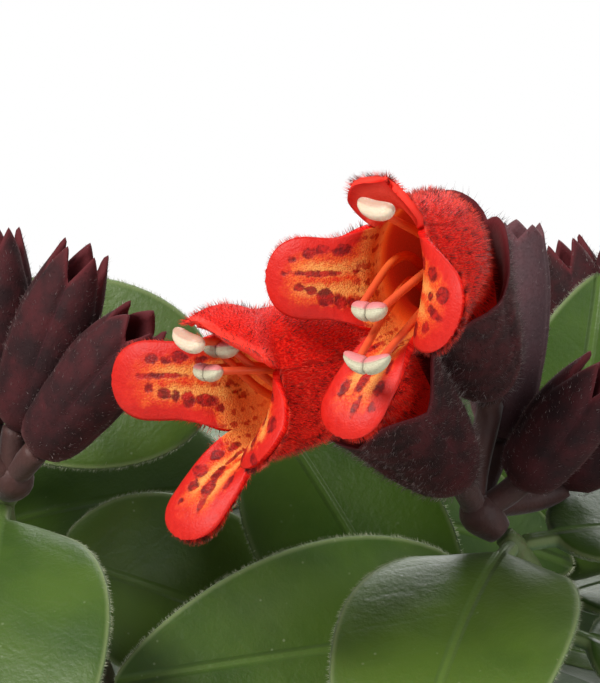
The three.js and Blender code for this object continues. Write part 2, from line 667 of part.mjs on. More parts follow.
// The soil fills the pot to a low mound, with a hole for each stem that leans the way the stem does
const soilFoot = POT_FLOOR + CLEARANCE;
const soilProfile = [
  [0, soilFoot], [innerRadius(soilFoot) - CLEARANCE, soilFoot], [innerRadius(SOIL_TOP) - CLEARANCE, SOIL_TOP],
  [0.6 * POT_FOOT_RADIUS, SOIL_TOP + 0.7 * SOIL_MOUND], [0, SOIL_TOP + SOIL_MOUND],
];
const holes = STEMS.map((stem) => {
  const curve = stemCurve(stem);
  const foot = curve.getPointAt(0);
  const lean = curve.getPointAt(1 / STEM_STEPS).sub(foot).normalize();
  const depth = ROOT_DEPTH + 3 * SOIL_MOUND;
  return rod(new THREE.LineCurve3(
    foot.clone().addScaledVector(lean, -CLEARANCE),
    foot.clone().addScaledVector(lean, depth),
  ), HOLE_RADIUS, 6, 1);
});
const soil = solid(new THREE.LatheGeometry(soilProfile.map(([r, z]) => new THREE.Vector2(r, z)), POT_SIDES)
  .rotateX(Math.PI / 2));
const holed = holes.reduce((left, hole) => left.subtract(hole), soil);
addPiece("soil", holed, EARTH);
settle(soil, "soil");

// Stems, bunches and blooms come first, because the leaves fit round them.
const grown = STEMS.map((stem, i) => {
  const curve = stemCurve(stem);
  const direction = curve.getTangent(1);
  const tip = point(...stem.tip);
  const stalk = rod(curve, STEM_RADIUS, STEM_SIDES, STEM_STEPS);
  settle(stalk, i);
  const given = stem.cups ? stem : BUNCHES.includes(i) ? looseBunch(tip, i, FLOWERING.includes(i)) : {};
  const { cups = [], blooms = [] } = given;
  const whole = blooms.map((bloom) => ({ ...bloom, up: squareTo(UP, bloom.forward) }));
  const allCups = [...whole.map((bloom) => bloom.cup), ...cups];
  if (allCups.length) {
    const body = bunch(tip, direction, allCups);
    addPiece(`calyx_bunch_${i + 1}`, body, MAROON);
    settle(body, `bunch ${i}`);
  }
  whole.forEach((bloom, k) => {
    const name = `${i + 1}${whole.length > 1 ? "ab"[k] : ""}`;
    const petals = corolla(bloom);
    addPiece(`petals_${name}`, petals, RED);
    settle(petals, `petals ${name}`);
    const inner = stamens(bloom);
    addPiece(`stamens_${name}`, inner, CREAM);
    settle(inner, `stamens ${name}`);
  });
  return { stem, curve, stalk };
});

// Leaves that are posed by hand come before the others.
const leafSets = grown.map(({ stem, curve }) => {
  const length = curve.getLength();
  return (stem.leaves ?? []).map(({ back, heading, look, size, arch }) => ({
    ...pose(curve.getPointAt(1 - back / length), point(...heading), point(...look), size), arch, fine: true,
  }));
});
leafSets.forEach((poses, i) => poses.forEach((each) => settle(leaf(each), i, true)));

// The other leaves stand in pairs along the outer part of each stem, each pair square to the one before.
// They lie along the round of the plant and look up and outwards
function pairsOf({ stem, curve }, index) {
  const length = curve.getLength();
  const poses = [];
  const first = stem.leaves ? stem.leaves.at(-1).back + INTERNODE : FIRST_PAIR;
  for (let k = 0; k < LEAF_PAIRS; k++) {
    const back = first + k * INTERNODE;
    const base = curve.getPointAt(1 - back / length);
    const inCore = base.clone().sub(PLANT_CENTRE).divide(PLANT_ROUND).length() < BARE_CORE;
    const overSoil = base.z < SOIL_TOP + BARE_FOOT && Math.hypot(base.x, base.y) < POT_RIM_RADIUS;
    if (back > MOST_BACK || inCore || overSoil) break;
    const tangent = curve.getTangentAt(1 - back / length);
    const level = tangent.clone().cross(UP).normalize();
    const upright = level.clone().cross(tangent);
    const outward = base.clone().sub(PLANT_CENTRE).normalize();
    const roll = rad(25 + 90 * k + 30 * (scatter(index, 20) - 0.5));
    for (const turn of [0, Math.PI]) {
      const radial = level.clone().multiplyScalar(Math.cos(roll + turn))
        .addScaledVector(upright, Math.sin(roll + turn));
      radial.addScaledVector(outward, -0.7 * radial.dot(outward));
      const heading = tangent.clone().multiplyScalar(0.5).addScaledVector(radial, 0.9);
      const look = outward.clone().addScaledVector(UP, 0.5);
      const size = 0.84 + 0.08 * Math.min(k, 2) + 0.1 * scatter(index * 10 + k, turn ? 21 : 22);
      poses.push(pose(base, heading, look, size));
    }
  }
  return poses;
}

// A leaf is turned, drooped or made smaller until it clears everything, and left out where nothing does
function fitted(each, index) {
  for (const scale of [1, 0.85]) {
    for (const droop of [0, -14, 14, -28, 28, 42]) {
      for (const turn of [0, 16, -16, 32, -32, 48, -48]) {
        const tried = swayed(each, turn, droop, scale);
        if (fits(tried, index)) return tried;
      }
    }
  }
  return null;
}

function fits(tried, index) {
  const body = leaf(tried, 2 * CLEARANCE);
  const { min, max } = body.boundingBox();
  if (max[2] > CANOPY_TOP || min[2] < LOWEST_LEAF) return false;
  const level = min[0] < FRONT_CLEAR.x && max[0] > -FRONT_CLEAR.x;
  if (level && min[1] < FRONT_CLEAR.y && max[2] > FRONT_CLEAR.z) return false;
  const others = placed.filter((other) => other.stem !== index);
  const ownBlades = placed.filter((other) => other.stem === index && other.blade);
  return isClear(body, others) && isClear(leaf(tried, 2 * CLEARANCE, true), ownBlades);
}

grown.forEach((each, i) => {
  for (const wanted of pairsOf(each, i)) {
    const found = fitted(wanted, i);
    if (!found) continue;
    leafSets[i].push(found);
    settle(leaf(found), i, true);
  }
});

grown.forEach(({ stalk }, i) => {
  addPiece(`leafy_stem_${i + 1}`, join([stalk, ...leafSets[i].map((each) => leaf(each))]), GREEN);
});

export default plant;
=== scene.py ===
# %% [markdown]
# # A potted lipstick plant
# A trailing house plant of the tropical forest floor, seen close: dark felted cups, and red flowers that
# push out of them with freckled lobes, cream anthers and a coat of fine hairs. The solids of the plant
# are already there as a frame. Here each one is replaced by a finer piece of the same form, in the same
# place. Everything is worked out in millimetres and written to the meshes in metres.

# %% Load the frame
import math
import bpy
import numpy as np
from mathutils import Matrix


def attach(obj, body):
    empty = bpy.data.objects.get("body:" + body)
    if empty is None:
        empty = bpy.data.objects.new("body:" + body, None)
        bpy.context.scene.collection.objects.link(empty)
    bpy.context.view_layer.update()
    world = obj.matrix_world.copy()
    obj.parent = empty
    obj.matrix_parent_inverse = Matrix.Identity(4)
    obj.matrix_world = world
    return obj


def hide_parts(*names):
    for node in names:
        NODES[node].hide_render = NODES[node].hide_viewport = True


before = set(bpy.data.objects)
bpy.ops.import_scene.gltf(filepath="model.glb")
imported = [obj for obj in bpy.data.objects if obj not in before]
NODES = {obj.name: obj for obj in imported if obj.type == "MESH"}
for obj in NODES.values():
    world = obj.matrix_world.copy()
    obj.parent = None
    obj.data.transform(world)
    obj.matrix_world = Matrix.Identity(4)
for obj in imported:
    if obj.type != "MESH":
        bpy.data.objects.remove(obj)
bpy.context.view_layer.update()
MM = 0.001
UP = np.array([0.0, 0.0, 1.0])

# %% [markdown]
# ## The camera
# Flowers like these are photographed with a long lens, close to their own height, so that one bunch
# fills the picture and the leaves behind it are not drawn small. The camera looks at the throat of the
# flowers from 6 degrees above them.

# %% Set up the camera
AIM = np.array([0.0, -70.0, 190.0])
DISTANCE = 450.0
ELEVATION = math.radians(6)
PICTURE_WIDTH, FILM_WIDTH = 68.3, 36
spot = AIM + DISTANCE * np.array([0.0, -math.cos(ELEVATION), math.sin(ELEVATION)])
bpy.ops.object.camera_add(location=spot * MM, rotation=(math.radians(90) - ELEVATION, 0, 0))
camera = bpy.context.object
camera.name = "camera"
camera.data.sensor_width = FILM_WIDTH
camera.data.lens = FILM_WIDTH * DISTANCE / PICTURE_WIDTH
camera.data.clip_start, camera.data.clip_end = 0.02, 20
bpy.context.scene.camera = camera
print("camera in mm:", np.round(spot, 1), "lens in mm:", round(camera.data.lens, 1))

# %% [markdown]
# ## Light and ground
# The plant stands in a light tent: white all round, a broad soft light high on the left, a weaker one
# on the right, and a small one behind that draws the hairs along the edges. The sky is white where the
# camera sees it and dimmer where it lights the plant, or else the colours would be washed out.

# %% Hang the lights and lay the floor
scene = bpy.context.scene
scene.view_settings.view_transform = "Standard"
tent = bpy.data.worlds.new("light_tent")
scene.world = tent
tent.use_nodes = True
sky = tent.node_tree
sky.nodes.clear()
seen, lit = sky.nodes.new("ShaderNodeBackground"), sky.nodes.new("ShaderNodeBackground")
seen.inputs["Color"].default_value = (1, 1, 1, 1)
lit.inputs["Color"].default_value = (0.93, 0.97, 1, 1)
lit.inputs["Strength"].default_value = 0.3
rays, choice = sky.nodes.new("ShaderNodeLightPath"), sky.nodes.new("ShaderNodeMixShader")
sky_out = sky.nodes.new("ShaderNodeOutputWorld")
sky.links.new(rays.outputs["Is Camera Ray"], choice.inputs[0])
sky.links.new(lit.outputs[0], choice.inputs[1])
sky.links.new(seen.outputs[0], choice.inputs[2])
sky.links.new(choice.outputs[0], sky_out.inputs[0])


def soft_light(name, place, aim, size, watts, tint):
    """A square soft light that looks at a point; places and size in metres."""
    bpy.ops.object.light_add(type="AREA", location=place)
    lamp = bpy.context.object
    lamp.name = name
    way = np.array(aim) - np.array(place)
    flat = math.hypot(way[0], way[1])
    lamp.rotation_euler = (math.atan2(flat, -way[2]), 0, math.atan2(-way[0], way[1]))
    lamp.data.shape, lamp.data.size, lamp.data.energy = "SQUARE", size, watts
    lamp.data.color = tint


soft_light("key_light", (-0.55, -0.75, 0.95), (0, -0.05, 0.16), 0.42, 16, (1, 0.98, 0.95))
soft_light("fill_light", (0.8, -0.65, 0.4), (0, -0.03, 0.15), 0.7, 3.2, (0.95, 0.98, 1))
soft_light("edge_light", (0.25, 0.7, 0.75), (0, 0, 0.15), 0.6, 6, (1, 1, 1))

bpy.ops.mesh.primitive_circle_add(vertices=64, radius=0.42, fill_type="NGON", location=(0, 0, -0.0004))
floor = bpy.context.object
floor.name = "floor"


# %% [markdown]
# ## Finishes written as sums
# A finish is a tree of nodes, and most of its nodes are plain arithmetic. The class below wraps one
# socket and lets Python's own signs add those nodes, so that a mask reads like a sum. Colours and
# vectors never go through a Math node, because it turns them grey: they have mix and vector calls.

# %% The sums of a finish
class Flow:
    """One output of a finish's nodes, on which sums can be made."""

    def __init__(self, finish, socket):
        self.finish, self.socket = finish, socket

    def math(self, operation, *others, swap=False):
        values = [self, *others]
        if swap:
            values.reverse()
        return self.finish.node("Math", {"operation": operation}, dict(enumerate(values)))

    def __add__(self, other):
        return self.math("ADD", other)

    def __sub__(self, other):
        return self.math("SUBTRACT", other)

    def __mul__(self, other):
        return self.math("MULTIPLY", other)

    def __truediv__(self, other):
        return self.math("DIVIDE", other)

    def __rsub__(self, other):
        return self.math("SUBTRACT", other, swap=True)

    __radd__, __rmul__ = __add__, __mul__

    def size(self):
        return self.math("ABSOLUTE")

    def rest(self):
        return self.math("FRACT")

    def wave(self):
        return self.math("SINE")

    def step(self, start, end):
        """0 below start, 1 above end, and a soft step between them."""
        return self.finish.node("MapRange", {"interpolation_type": "SMOOTHSTEP", "clamp": True},
                                {0: self, 1: start, 2: end, 3: 0.0, 4: 1.0})


class Finish:
    """A material with one Principled shader, whose nodes are added by calls."""

    def __init__(self, name, **settings):
        self.material = bpy.data.materials.new(name)
        self.material.use_nodes = True
        self.tree = self.material.node_tree
        self.shader = self.tree.nodes["Principled BSDF"]
        for socket, value in settings.items():
            self.shader.inputs[socket.replace("_", " ")].default_value = value

    def node(self, kind, settings=None, sockets=None, out=0):
        made = self.tree.nodes.new("ShaderNode" + kind)
        for name, value in (settings or {}).items():
            setattr(made, name, value)
        for name, value in (sockets or {}).items():
            self.feed(made.inputs[name], value)
        return Flow(self, made.outputs[out])

    def feed(self, socket, value):
        if isinstance(value, Flow):
            self.tree.links.new(value.socket, socket)
        elif socket.type == "RGBA":
            socket.default_value = (*value, 1)
        else:
            socket.default_value = value

    def mark(self, name):
        """A number that is written on the piece's own corners."""
        return self.node("Attribute", {"attribute_name": name}, out=2)

    def place(self):
        """Object coordinates in millimetres."""
        spot = self.node("TexCoord", out=3)
        return self.node("VectorMath", {"operation": "SCALE"}, {0: spot, 3: 1000.0})

    def noise(self, per_mm, detail=3.0, rough=0.55, where=None):
        return self.node("TexNoise", {}, {"Vector": where or self.place(), "Scale": per_mm,
                                          "Detail": detail, "Roughness": rough})

    def cells(self, per_mm):
        return self.node("TexVoronoi", {}, {"Vector": self.place(), "Scale": per_mm})

    def mix(self, first, second, share):
        made = self.tree.nodes.new("ShaderNodeMix")
        made.data_type = "RGBA"
        for name, value in (("Factor_Float", share), ("A_Color", first), ("B_Color", second)):
            self.feed(next(s for s in made.inputs if s.identifier == name), value)
        return Flow(self, next(s for s in made.outputs if s.identifier == "Result_Color"))

    def over(self, colour, *layers):
        """A colour with (colour, share) layers laid over it, one after the other."""
        for tint, share in layers:
            colour = self.mix(colour, tint, share)
        return colour

    def coat(self, colour, roughness=None, height=None, depth_mm=0.1):
        """Feeds the colour, the roughness and a relief to the shader."""
        self.feed(self.shader.inputs["Base Color"], colour)
        if roughness is not None:
            self.feed(self.shader.inputs["Roughness"], roughness)
        if height is not None:
            bump = self.node("Bump", {}, {"Height": height, "Distance": depth_mm * MM, "Strength": 1.0})
            self.feed(self.shader.inputs["Normal"], bump)
        return self.material


paper = Finish("floor_paper", Roughness=0.9)
floor.data.materials.append(paper.coat(paper.mix((0.86, 0.86, 0.85), (0.9, 0.9, 0.89), paper.noise(0.02))))
print("finishes ready")

# %% [markdown]
# ## Shaping by hand and by rule
# Petals, leaves and cups are curved all over, so each one starts as a grid primitive whose corners are
# carried to their places by a rule, flat for a petal or rolled up for a leaf, stem or cup. Where a roll
# meets itself, the doubled corners are merged and the normals are made to point outwards.

# %% Helpers for grids and rolls
SAME_PLACE = 0.003


def let_go():
    """Leaves edit mode and deselects everything."""
    if bpy.context.object and bpy.context.object.mode != "OBJECT":
        bpy.ops.object.mode_set(mode="OBJECT")
    bpy.ops.object.select_all(action="DESELECT")


def pick(piece):
    """Makes a piece the active one, and the only one selected."""
    let_go()
    piece.select_set(True)
    bpy.context.view_layer.objects.active = piece


def settle(piece, modifier):
    """Works a modifier into the mesh."""
    pick(piece)
    bpy.ops.object.modifier_apply(modifier=modifier.name)


def read_corners(piece):
    """The places of a piece's corners in millimetres."""
    places = np.empty(len(piece.data.vertices) * 3, np.float32)
    piece.data.vertices.foreach_get("co", places)
    return places.reshape(-1, 3).astype(float) / MM


def write_corners(piece, places):
    piece.data.vertices.foreach_set("co", (np.asarray(places) * MM).astype(np.float32).ravel())
    piece.data.update()


def write_mark(piece, name, values):
    """Writes one number on each corner, which a finish reads back by its name."""
    mark = piece.data.attributes.get(name) or piece.data.attributes.new(name, "FLOAT", "POINT")
    values = np.broadcast_to(np.asarray(values, np.float32), (len(piece.data.vertices),))
    mark.data.foreach_set("value", np.ascontiguousarray(values))


def new_grid(name, columns, rows, place, marks=None):
    """A grid primitive carried to place(u, v), with the marks that marks(u, v) names."""
    let_go()
    bpy.ops.mesh.primitive_grid_add(x_subdivisions=columns, y_subdivisions=rows, size=1)
    piece = bpy.context.object
    piece.name = name
    flat = read_corners(piece) * MM + 0.5
    u, v = np.clip(flat[:, 0], 0, 1), np.clip(flat[:, 1], 0, 1)
    write_corners(piece, place(u, v))
    for mark, values in (marks(u, v) if marks else {}).items():
        write_mark(piece, mark, values)
    return piece


def close_up(piece, turn_out=True):
    """Merges doubled corners and makes the normals point outwards."""
    pick(piece)
    bpy.ops.object.mode_set(mode="EDIT")
    bpy.ops.mesh.select_all(action="SELECT")
    bpy.ops.mesh.remove_doubles(threshold=SAME_PLACE * MM)
    if turn_out:
        bpy.ops.mesh.normals_make_consistent(inside=False)
    bpy.ops.object.mode_set(mode="OBJECT")
    return piece


def new_roll(name, sides, rows, place, marks=None):
    """A closed body: a grid rolled up, whose first and last rows are drawn together."""
    return close_up(new_grid(name, sides, rows, place, marks))


def wear(piece, *finishes):
    """Gives a piece its finishes and smooth shading."""
    piece.data.materials.clear()
    for finish in finishes:
        piece.data.materials.append(finish)
    piece.data.shade_smooth()
    return piece


def put_together(name, parts):
    """Joins several objects into one."""
    let_go()
    for part in parts:
        part.select_set(True)
    bpy.context.view_layer.objects.active = parts[0]
    if len(parts) > 1:
        bpy.ops.object.join()
    whole = bpy.context.view_layer.objects.active
    whole.name = name
    return whole


def hand_over(piece, slot, *nodes):
    """A finished piece rides on the root and stands for its nodes."""
    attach(piece, "root")
    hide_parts(*nodes)
    return piece


# %% [markdown]
# Stems, stalks and stamens are round bodies along a curve. Their rules are written with a few sums on
# directions, and with two kinds of curve: an arc between two ends, and a line through several points.

# %% Helpers for lines and directions
def unit(vectors):
    vectors = np.asarray(vectors, float)
    return vectors / np.maximum(np.linalg.norm(vectors, axis=-1, keepdims=True), 1e-9)


def square_to(vectors, axis):
    """The part of each vector that is square to an axis, one long."""
    vectors, axis = np.asarray(vectors, float), np.asarray(axis, float)
    return unit(vectors - (vectors * axis).sum(-1, keepdims=True) * axis)


def smooth(x):
    x = np.clip(x, 0, 1)
    return x * x * (3 - 2 * x)


def blend(a, b, share):
    return a + (b - a) * share


def arc(points, t):
    """A cubic curve through space: its places at t."""
    a, b, c, d = (np.asarray(p, float) for p in points)
    t = np.asarray(t, float)[..., None]
    s = 1 - t
    return a * s**3 + 3 * b * s * s * t + 3 * c * s * t * t + d * t**3


def arc_way(points, t):
    """The direction of that curve at t."""
    a, b, c, d = (np.asarray(p, float) for p in points)
    t = np.asarray(t, float)[..., None]
    s = 1 - t
    return unit(3 * s * s * (b - a) + 6 * s * t * (c - b) + 3 * t * t * (d - c))


def between(t, start, leave, end, arrive):
    """A smooth passage from start to end, with the slopes that it leaves and arrives with."""
    return ((2 * t**3 - 3 * t * t + 1) * start + (t**3 - 2 * t * t + t) * leave
            + (3 * t * t - 2 * t**3) * end + (t**3 - t * t) * arrive)


def smooth_line(points):
    """A smooth line through points: its places and directions at t from 0 to 1."""
    points = np.array(points, float)
    ways = np.gradient(points, axis=0)
    last = len(points) - 1

    def at(t):
        t = np.clip(np.asarray(t, float), 0, 1) * last
        k = np.minimum(t.astype(int), last - 1)
        return between((t - k)[:, None], points[k], ways[k], points[k + 1], ways[k + 1])
    return at, lambda t: unit(at(np.minimum(t + 0.01, 1)) - at(np.maximum(t - 0.01, 0)))


def soft_profile(points):
    """A smooth radius rule through (share, radius) points, by short slopes at each point."""
    x, y = np.array(points, float).T
    slope = np.gradient(y, x)
    slope[0] = min(slope[0], 30)

    def radius(share):
        share = np.clip(share, 0, 1)
        k = np.clip(np.searchsorted(x, share, side="right") - 1, 0, len(x) - 2)
        h = x[k + 1] - x[k]
        return between((share - x[k]) / h, y[k], h * slope[k], y[k + 1], h * slope[k + 1])
    return radius


def round_curve(centre_of, way_of, radius_of):
    """A place rule for a round body along a curve. Its ends are drawn together to a point."""
    def place(u, v):
        inner = np.clip((v - 0.02) / 0.96, 0, 1)
        centre, way = centre_of(inner), way_of(inner)
        side = square_to(np.where(np.abs(way[:, 2:3]) > 0.92, [[1.0, 0, 0]], [[0, 0, 1.0]]), way)
        reach = radius_of(inner) * ((v > 0.01) & (v < 0.99))
        angle = 2 * np.pi * u
        across = side * np.cos(angle)[:, None] + np.cross(way, side) * np.sin(angle)[:, None]
        return centre + across * reach[:, None]
    return place


def round_arc(points, radius_of):
    """A place rule for a round body along an arc."""
    return round_curve(lambda t: arc(points, t), lambda t: arc_way(points, t), radius_of)


# %% [markdown]
# Every part of the plant is downy, and the hairs are real: closed spikes strewn on a surface by a draw
# that is the same each time, thicker where the surface is larger.

# %% Helpers for hairs
def pores(place, count, seed):
    """Random places on a surface: where, the normal and the way along it, and the draw to go on with."""
    rng = np.random.default_rng(seed)
    step = 0.004
    u = rng.uniform(step, 1 - step, 5 * count)
    v = rng.uniform(step, 1 - step, 5 * count)
    at = place(u, v)
    across = place(u + step, v) - place(u - step, v)
    along = place(u, v + step) - place(u, v - step)
    normal = np.cross(across, along)
    size = np.linalg.norm(normal, axis=1)
    keep = np.flatnonzero(rng.random(len(u)) * np.quantile(size, 0.98) < size)[:count]
    return at[keep], unit(normal[keep]), unit(along[keep]), rng


def stand(at, way, length, rng, shortest=0.5, sunk=0.0):
    """Roots and tips of hairs of uneven length that stand on places."""
    return at - way * sunk, at + way * (length * rng.uniform(shortest, 1.1, len(at)))[:, None]


def new_hairs(name, hairs, radius, finish):
    """Fine closed spikes of four faces each, from a list of (roots, tips)."""
    roots, tips = (np.concatenate(ends) for ends in zip(*hairs))
    way = unit(tips - roots)
    side = unit(np.cross(way, np.where(np.abs(way[:, 2:3]) > 0.9, [[1.0, 0, 0]], [[0, 0, 1.0]])))
    other = np.cross(way, side)
    third = 2 * np.pi / 3
    ring = [roots + radius * (side * math.cos(k * third) + other * math.sin(k * third)) for k in range(3)]
    corners = np.stack([*ring, tips], 1).reshape(-1, 3)
    start = 4 * np.arange(len(roots))[:, None]
    faces = np.concatenate([start + np.array(f) for f in ([2, 1, 0], [0, 1, 3], [1, 2, 3], [2, 0, 3])])
    mesh = bpy.data.meshes.new(name)
    mesh.from_pydata((corners * MM).tolist(), [], faces.tolist())
    piece = bpy.data.objects.new(name, mesh)
    scene.collection.objects.link(piece)
    mesh.materials.append(finish)
    return piece


print("helpers ready")

# %% [markdown]
# ## The pot
# A plain clay pot: a tapered wall with a deeper band round its rim. On a wheel it would be drawn up from
# one lump, and here a circle is pulled up ring by ring in the same way, by extruding and resizing. The
# sharp turns are then bevelled as a wet sponge would round them. Fired clay is matt, with fine grit,
# paler lime bloom in patches and faint turning rings.

# %% Model the pot
POT_HEIGHT, FOOT_RADIUS, RIM_RADIUS, RIM_DEPTH, RIM_PROUD = 95, 42, 58, 17, 2.5
WALL, FLOOR, SOIL_TOP, SOIL_MOUND, GAP = 3.2, 4, 84, 4, 0.35
BAND_FOOT = POT_HEIGHT - RIM_DEPTH


def wall_radius(z):
    """The outer radius of the pot's plain wall at a height."""
    return FOOT_RADIUS + (RIM_RADIUS - RIM_PROUD - FOOT_RADIUS) * z / POT_HEIGHT


def pull_up(rings):
    """Pulls the selected ring of edges up through (radius, height) rings."""
    radius, height = rings[0]
    for next_radius, next_height in rings[1:]:
        bpy.ops.mesh.extrude_edges_move(TRANSFORM_OT_translate={"value": (0, 0, (next_height - height) * MM)})
        share = next_radius / radius
        bpy.ops.transform.resize(value=(share, share, 1))
        radius, height = next_radius, next_height


def thrown(name, rings, sides):
    """A closed turned body, pulled up from a circle and capped at both ends."""
    let_go()
    radius, height = rings[0]
    bpy.ops.mesh.primitive_circle_add(vertices=sides, radius=radius * MM, location=(0, 0, height * MM))
    piece = bpy.context.object
    piece.name = name
    bpy.ops.object.transform_apply(location=True, rotation=True, scale=True)
    bpy.ops.object.mode_set(mode="EDIT")
    bpy.ops.mesh.select_all(action="SELECT")
    pull_up(rings)
    bpy.ops.mesh.edge_face_add()
    bpy.ops.mesh.select_all(action="DESELECT")
    bpy.ops.mesh.select_non_manifold()
    bpy.ops.mesh.edge_face_add()
    bpy.ops.mesh.select_all(action="SELECT")
    bpy.ops.mesh.normals_make_consistent(inside=False)
    bpy.ops.object.mode_set(mode="OBJECT")
    return piece


def soften(piece, width_mm, angle):
    """Rounds the sharp turns of a piece."""
    bevel = piece.modifiers.new("rounded_turns", "BEVEL")
    bevel.width, bevel.segments = width_mm * MM, 3
    bevel.limit_method, bevel.angle_limit = "ANGLE", math.radians(angle)
    settle(piece, bevel)


pot = thrown("pot_wall", [
    (FOOT_RADIUS - 1.4, 0), (wall_radius(1.2), 1.2), (wall_radius(30), 30), (wall_radius(55), 55),
    (wall_radius(BAND_FOOT), BAND_FOOT), (RIM_RADIUS, BAND_FOOT + 1.5), (RIM_RADIUS, POT_HEIGHT - 0.2),
    (RIM_RADIUS - 0.2, POT_HEIGHT), (wall_radius(POT_HEIGHT) - WALL, POT_HEIGHT),
    (wall_radius(FLOOR) - WALL, FLOOR),
], 96)
soften(pot, 0.9, 25)

# %% Finish the pot
clay = Finish("fired_clay", Roughness=0.85)
grit = clay.noise(0.9, 6, 0.7)
bloom_of_lime = clay.noise(0.045, 4).step(0.5, 0.75)
across_pot = clay.node("SeparateXYZ", {}, {0: clay.place()}, out=2)
turning = (across_pot * 2.4 + clay.noise(0.03) * 3).wave()
clay_colour = clay.over((0.36, 0.125, 0.055), ((0.46, 0.19, 0.095), grit),
                        ((0.55, 0.36, 0.25), bloom_of_lime * 0.35))
wear(pot, clay.coat(clay_colour, 0.78 + grit * 0.15, grit + turning * 0.12, 0.25))
pick(pot)
bpy.ops.object.shade_smooth_by_angle(angle=math.radians(40))
hand_over(pot, "pot_clay", "pot")
print("pot: faces", len(pot.data.polygons))

# %% [markdown]
# ## The soil
# Potting soil is a loose mix of dark crumbs, bark and a few pale grains. A filled circle is inset to rings,
# raised to a low mound and roughened, and crumbs of a few faces are strewn on it, sunk by half.

# %% Model the soil
SOIL_RADIUS = wall_radius(SOIL_TOP) - WALL - GAP
soil = thrown("soil_bed", [
    (wall_radius(FLOOR + GAP) - WALL - GAP, FLOOR + GAP), (SOIL_RADIUS, SOIL_TOP - 1),
    *[(SOIL_RADIUS * share, SOIL_TOP - 1 + SOIL_MOUND * (1 - share**2))
      for share in np.linspace(0.97, 0.04, 22)],
], 72)


def dips(x, y):
    """How far the soil stands above its mound at a place."""
    return (0.55 * np.sin(0.53 * x + 0.9 * np.sin(0.31 * y)) * np.sin(0.47 * y + 1.1 * np.sin(0.27 * x))
            + 0.35 * np.sin(1.3 * x + 2.1 * y) * np.sin(1.7 * y - 0.9 * x))


bed = read_corners(soil)
loose = (bed[:, 2] > SOIL_TOP - 1.05) & (np.hypot(bed[:, 0], bed[:, 1]) < SOIL_RADIUS - 0.5)
bed[loose, 2] += dips(bed[loose, 0], bed[loose, 1]) - 0.3
write_corners(soil, bed)

CRUMBS = 260
rng = np.random.default_rng(41)
crumbs = [soil]
for number in range(CRUMBS):
    let_go()
    bpy.ops.mesh.primitive_ico_sphere_add(subdivisions=1, radius=MM)
    crumb = bpy.context.object
    reach, bearing = 0.95 * SOIL_RADIUS * math.sqrt(rng.random()), rng.uniform(0, 2 * math.pi)
    x, y = reach * math.cos(bearing), reach * math.sin(bearing)
    ground = SOIL_TOP - 1 + SOIL_MOUND * (1 - (reach / SOIL_RADIUS) ** 2) + float(dips(x, y)) - 0.3
    size = rng.uniform(0.5, 1.5) * rng.uniform(0.6, 1.25, 3)
    shape = read_corners(crumb) * (size * rng.uniform(0.75, 1.2, (len(crumb.data.vertices), 1)))
    write_corners(crumb, shape + np.array([x, y, min(ground, SOIL_TOP + SOIL_MOUND - 1)]))
    crumbs.append(crumb)
soil = put_together("soil_bed", crumbs)

# %% Finish the soil
earth = Finish("potting_soil", Roughness=0.95)
clods = earth.noise(0.8, 8, 0.75)
grains = earth.cells(0.55)
earth_colour = earth.over((0.012, 0.007, 0.004), ((0.07, 0.04, 0.022), clods.step(0.35, 0.75)),
                          ((0.3, 0.24, 0.17), (1 - grains.step(0.0, 0.14)) * 0.6))
wear(soil, earth.coat(earth_colour, 0.95, clods, 0.8))
hand_over(soil, "soil", "soil")
print("soil: faces", len(soil.data.polygons))

# %% [markdown]
# ## The stems
# Round green-brown stems rise out of the soil and arch over the rim. Each one follows the same curve
# as its solid. A new stem is a rolled grid along that curve, with a slight swelling every 20 mm, where
# a pair of leaves grows. Young bark is green in the light and brown where it is old.

# %% Where the stems run
def scatter(index, channel):
    """A steady number from 0 to 1 for an index."""
    value = math.sin(index * 12.9898 + channel * 78.233) * 43758.5453
    return value - math.floor(value)


def arched(foot, rise, over, tip):
    start = np.array([foot[0], foot[1], SOIL_TOP - 15.0])
    return [start, start + rise * UP, np.array(over, float), np.array(tip, float)]


STEMS = [
    arched((12, -14), 62, (37, -33, 151), (22, -37.5, 165.5)),
    arched((-12, -12), 66, (-36, -26, 161), (-31, -45.5, 171.5)),
    arched((18, 2), 75, (34, 8, 158), (35, 6, 171)),
    arched((-3, -2), 66, (0, -4, 170), (-5, -22, 179)),
    arched((-14, 16), 78, (-36, 20, 174), (-56, 24, 160)),
    arched((14, 20), 78, (30, 36, 174), (50, 46, 160)),
    arched((-2, 12), 70, (-4, 32, 176), (-10, 50, 158)),
]
# The long outer stems, then the short ones that hang over the rim.
for i, bearing in enumerate([-108, -62, -14, 30, 84, 132, 188]):
    x, y = math.cos(math.radians(bearing)), math.sin(math.radians(bearing))
    reach, end = 86 + 12 * scatter(i, 1), 108 + 22 * scatter(i, 2)
    STEMS.append(arched((30 * x, 30 * y), 48 + 10 * scatter(i, 3),
                        (0.62 * reach * x, 0.62 * reach * y, end + 30), (reach * x, reach * y, end)))
for i, bearing in enumerate([-86, -38, 56, 158, 212]):
    x, y = math.cos(math.radians(bearing)), math.sin(math.radians(bearing))
    reach = 98 + 10 * scatter(i, 4)
    STEMS.append(arched((43 * x, 43 * y), 42, (0.8 * reach * x, 0.8 * reach * y, 118 + 8 * scatter(i, 5)),
                        (reach * x, reach * y, 70 + 16 * scatter(i, 6))))
print("stems:", len(STEMS))

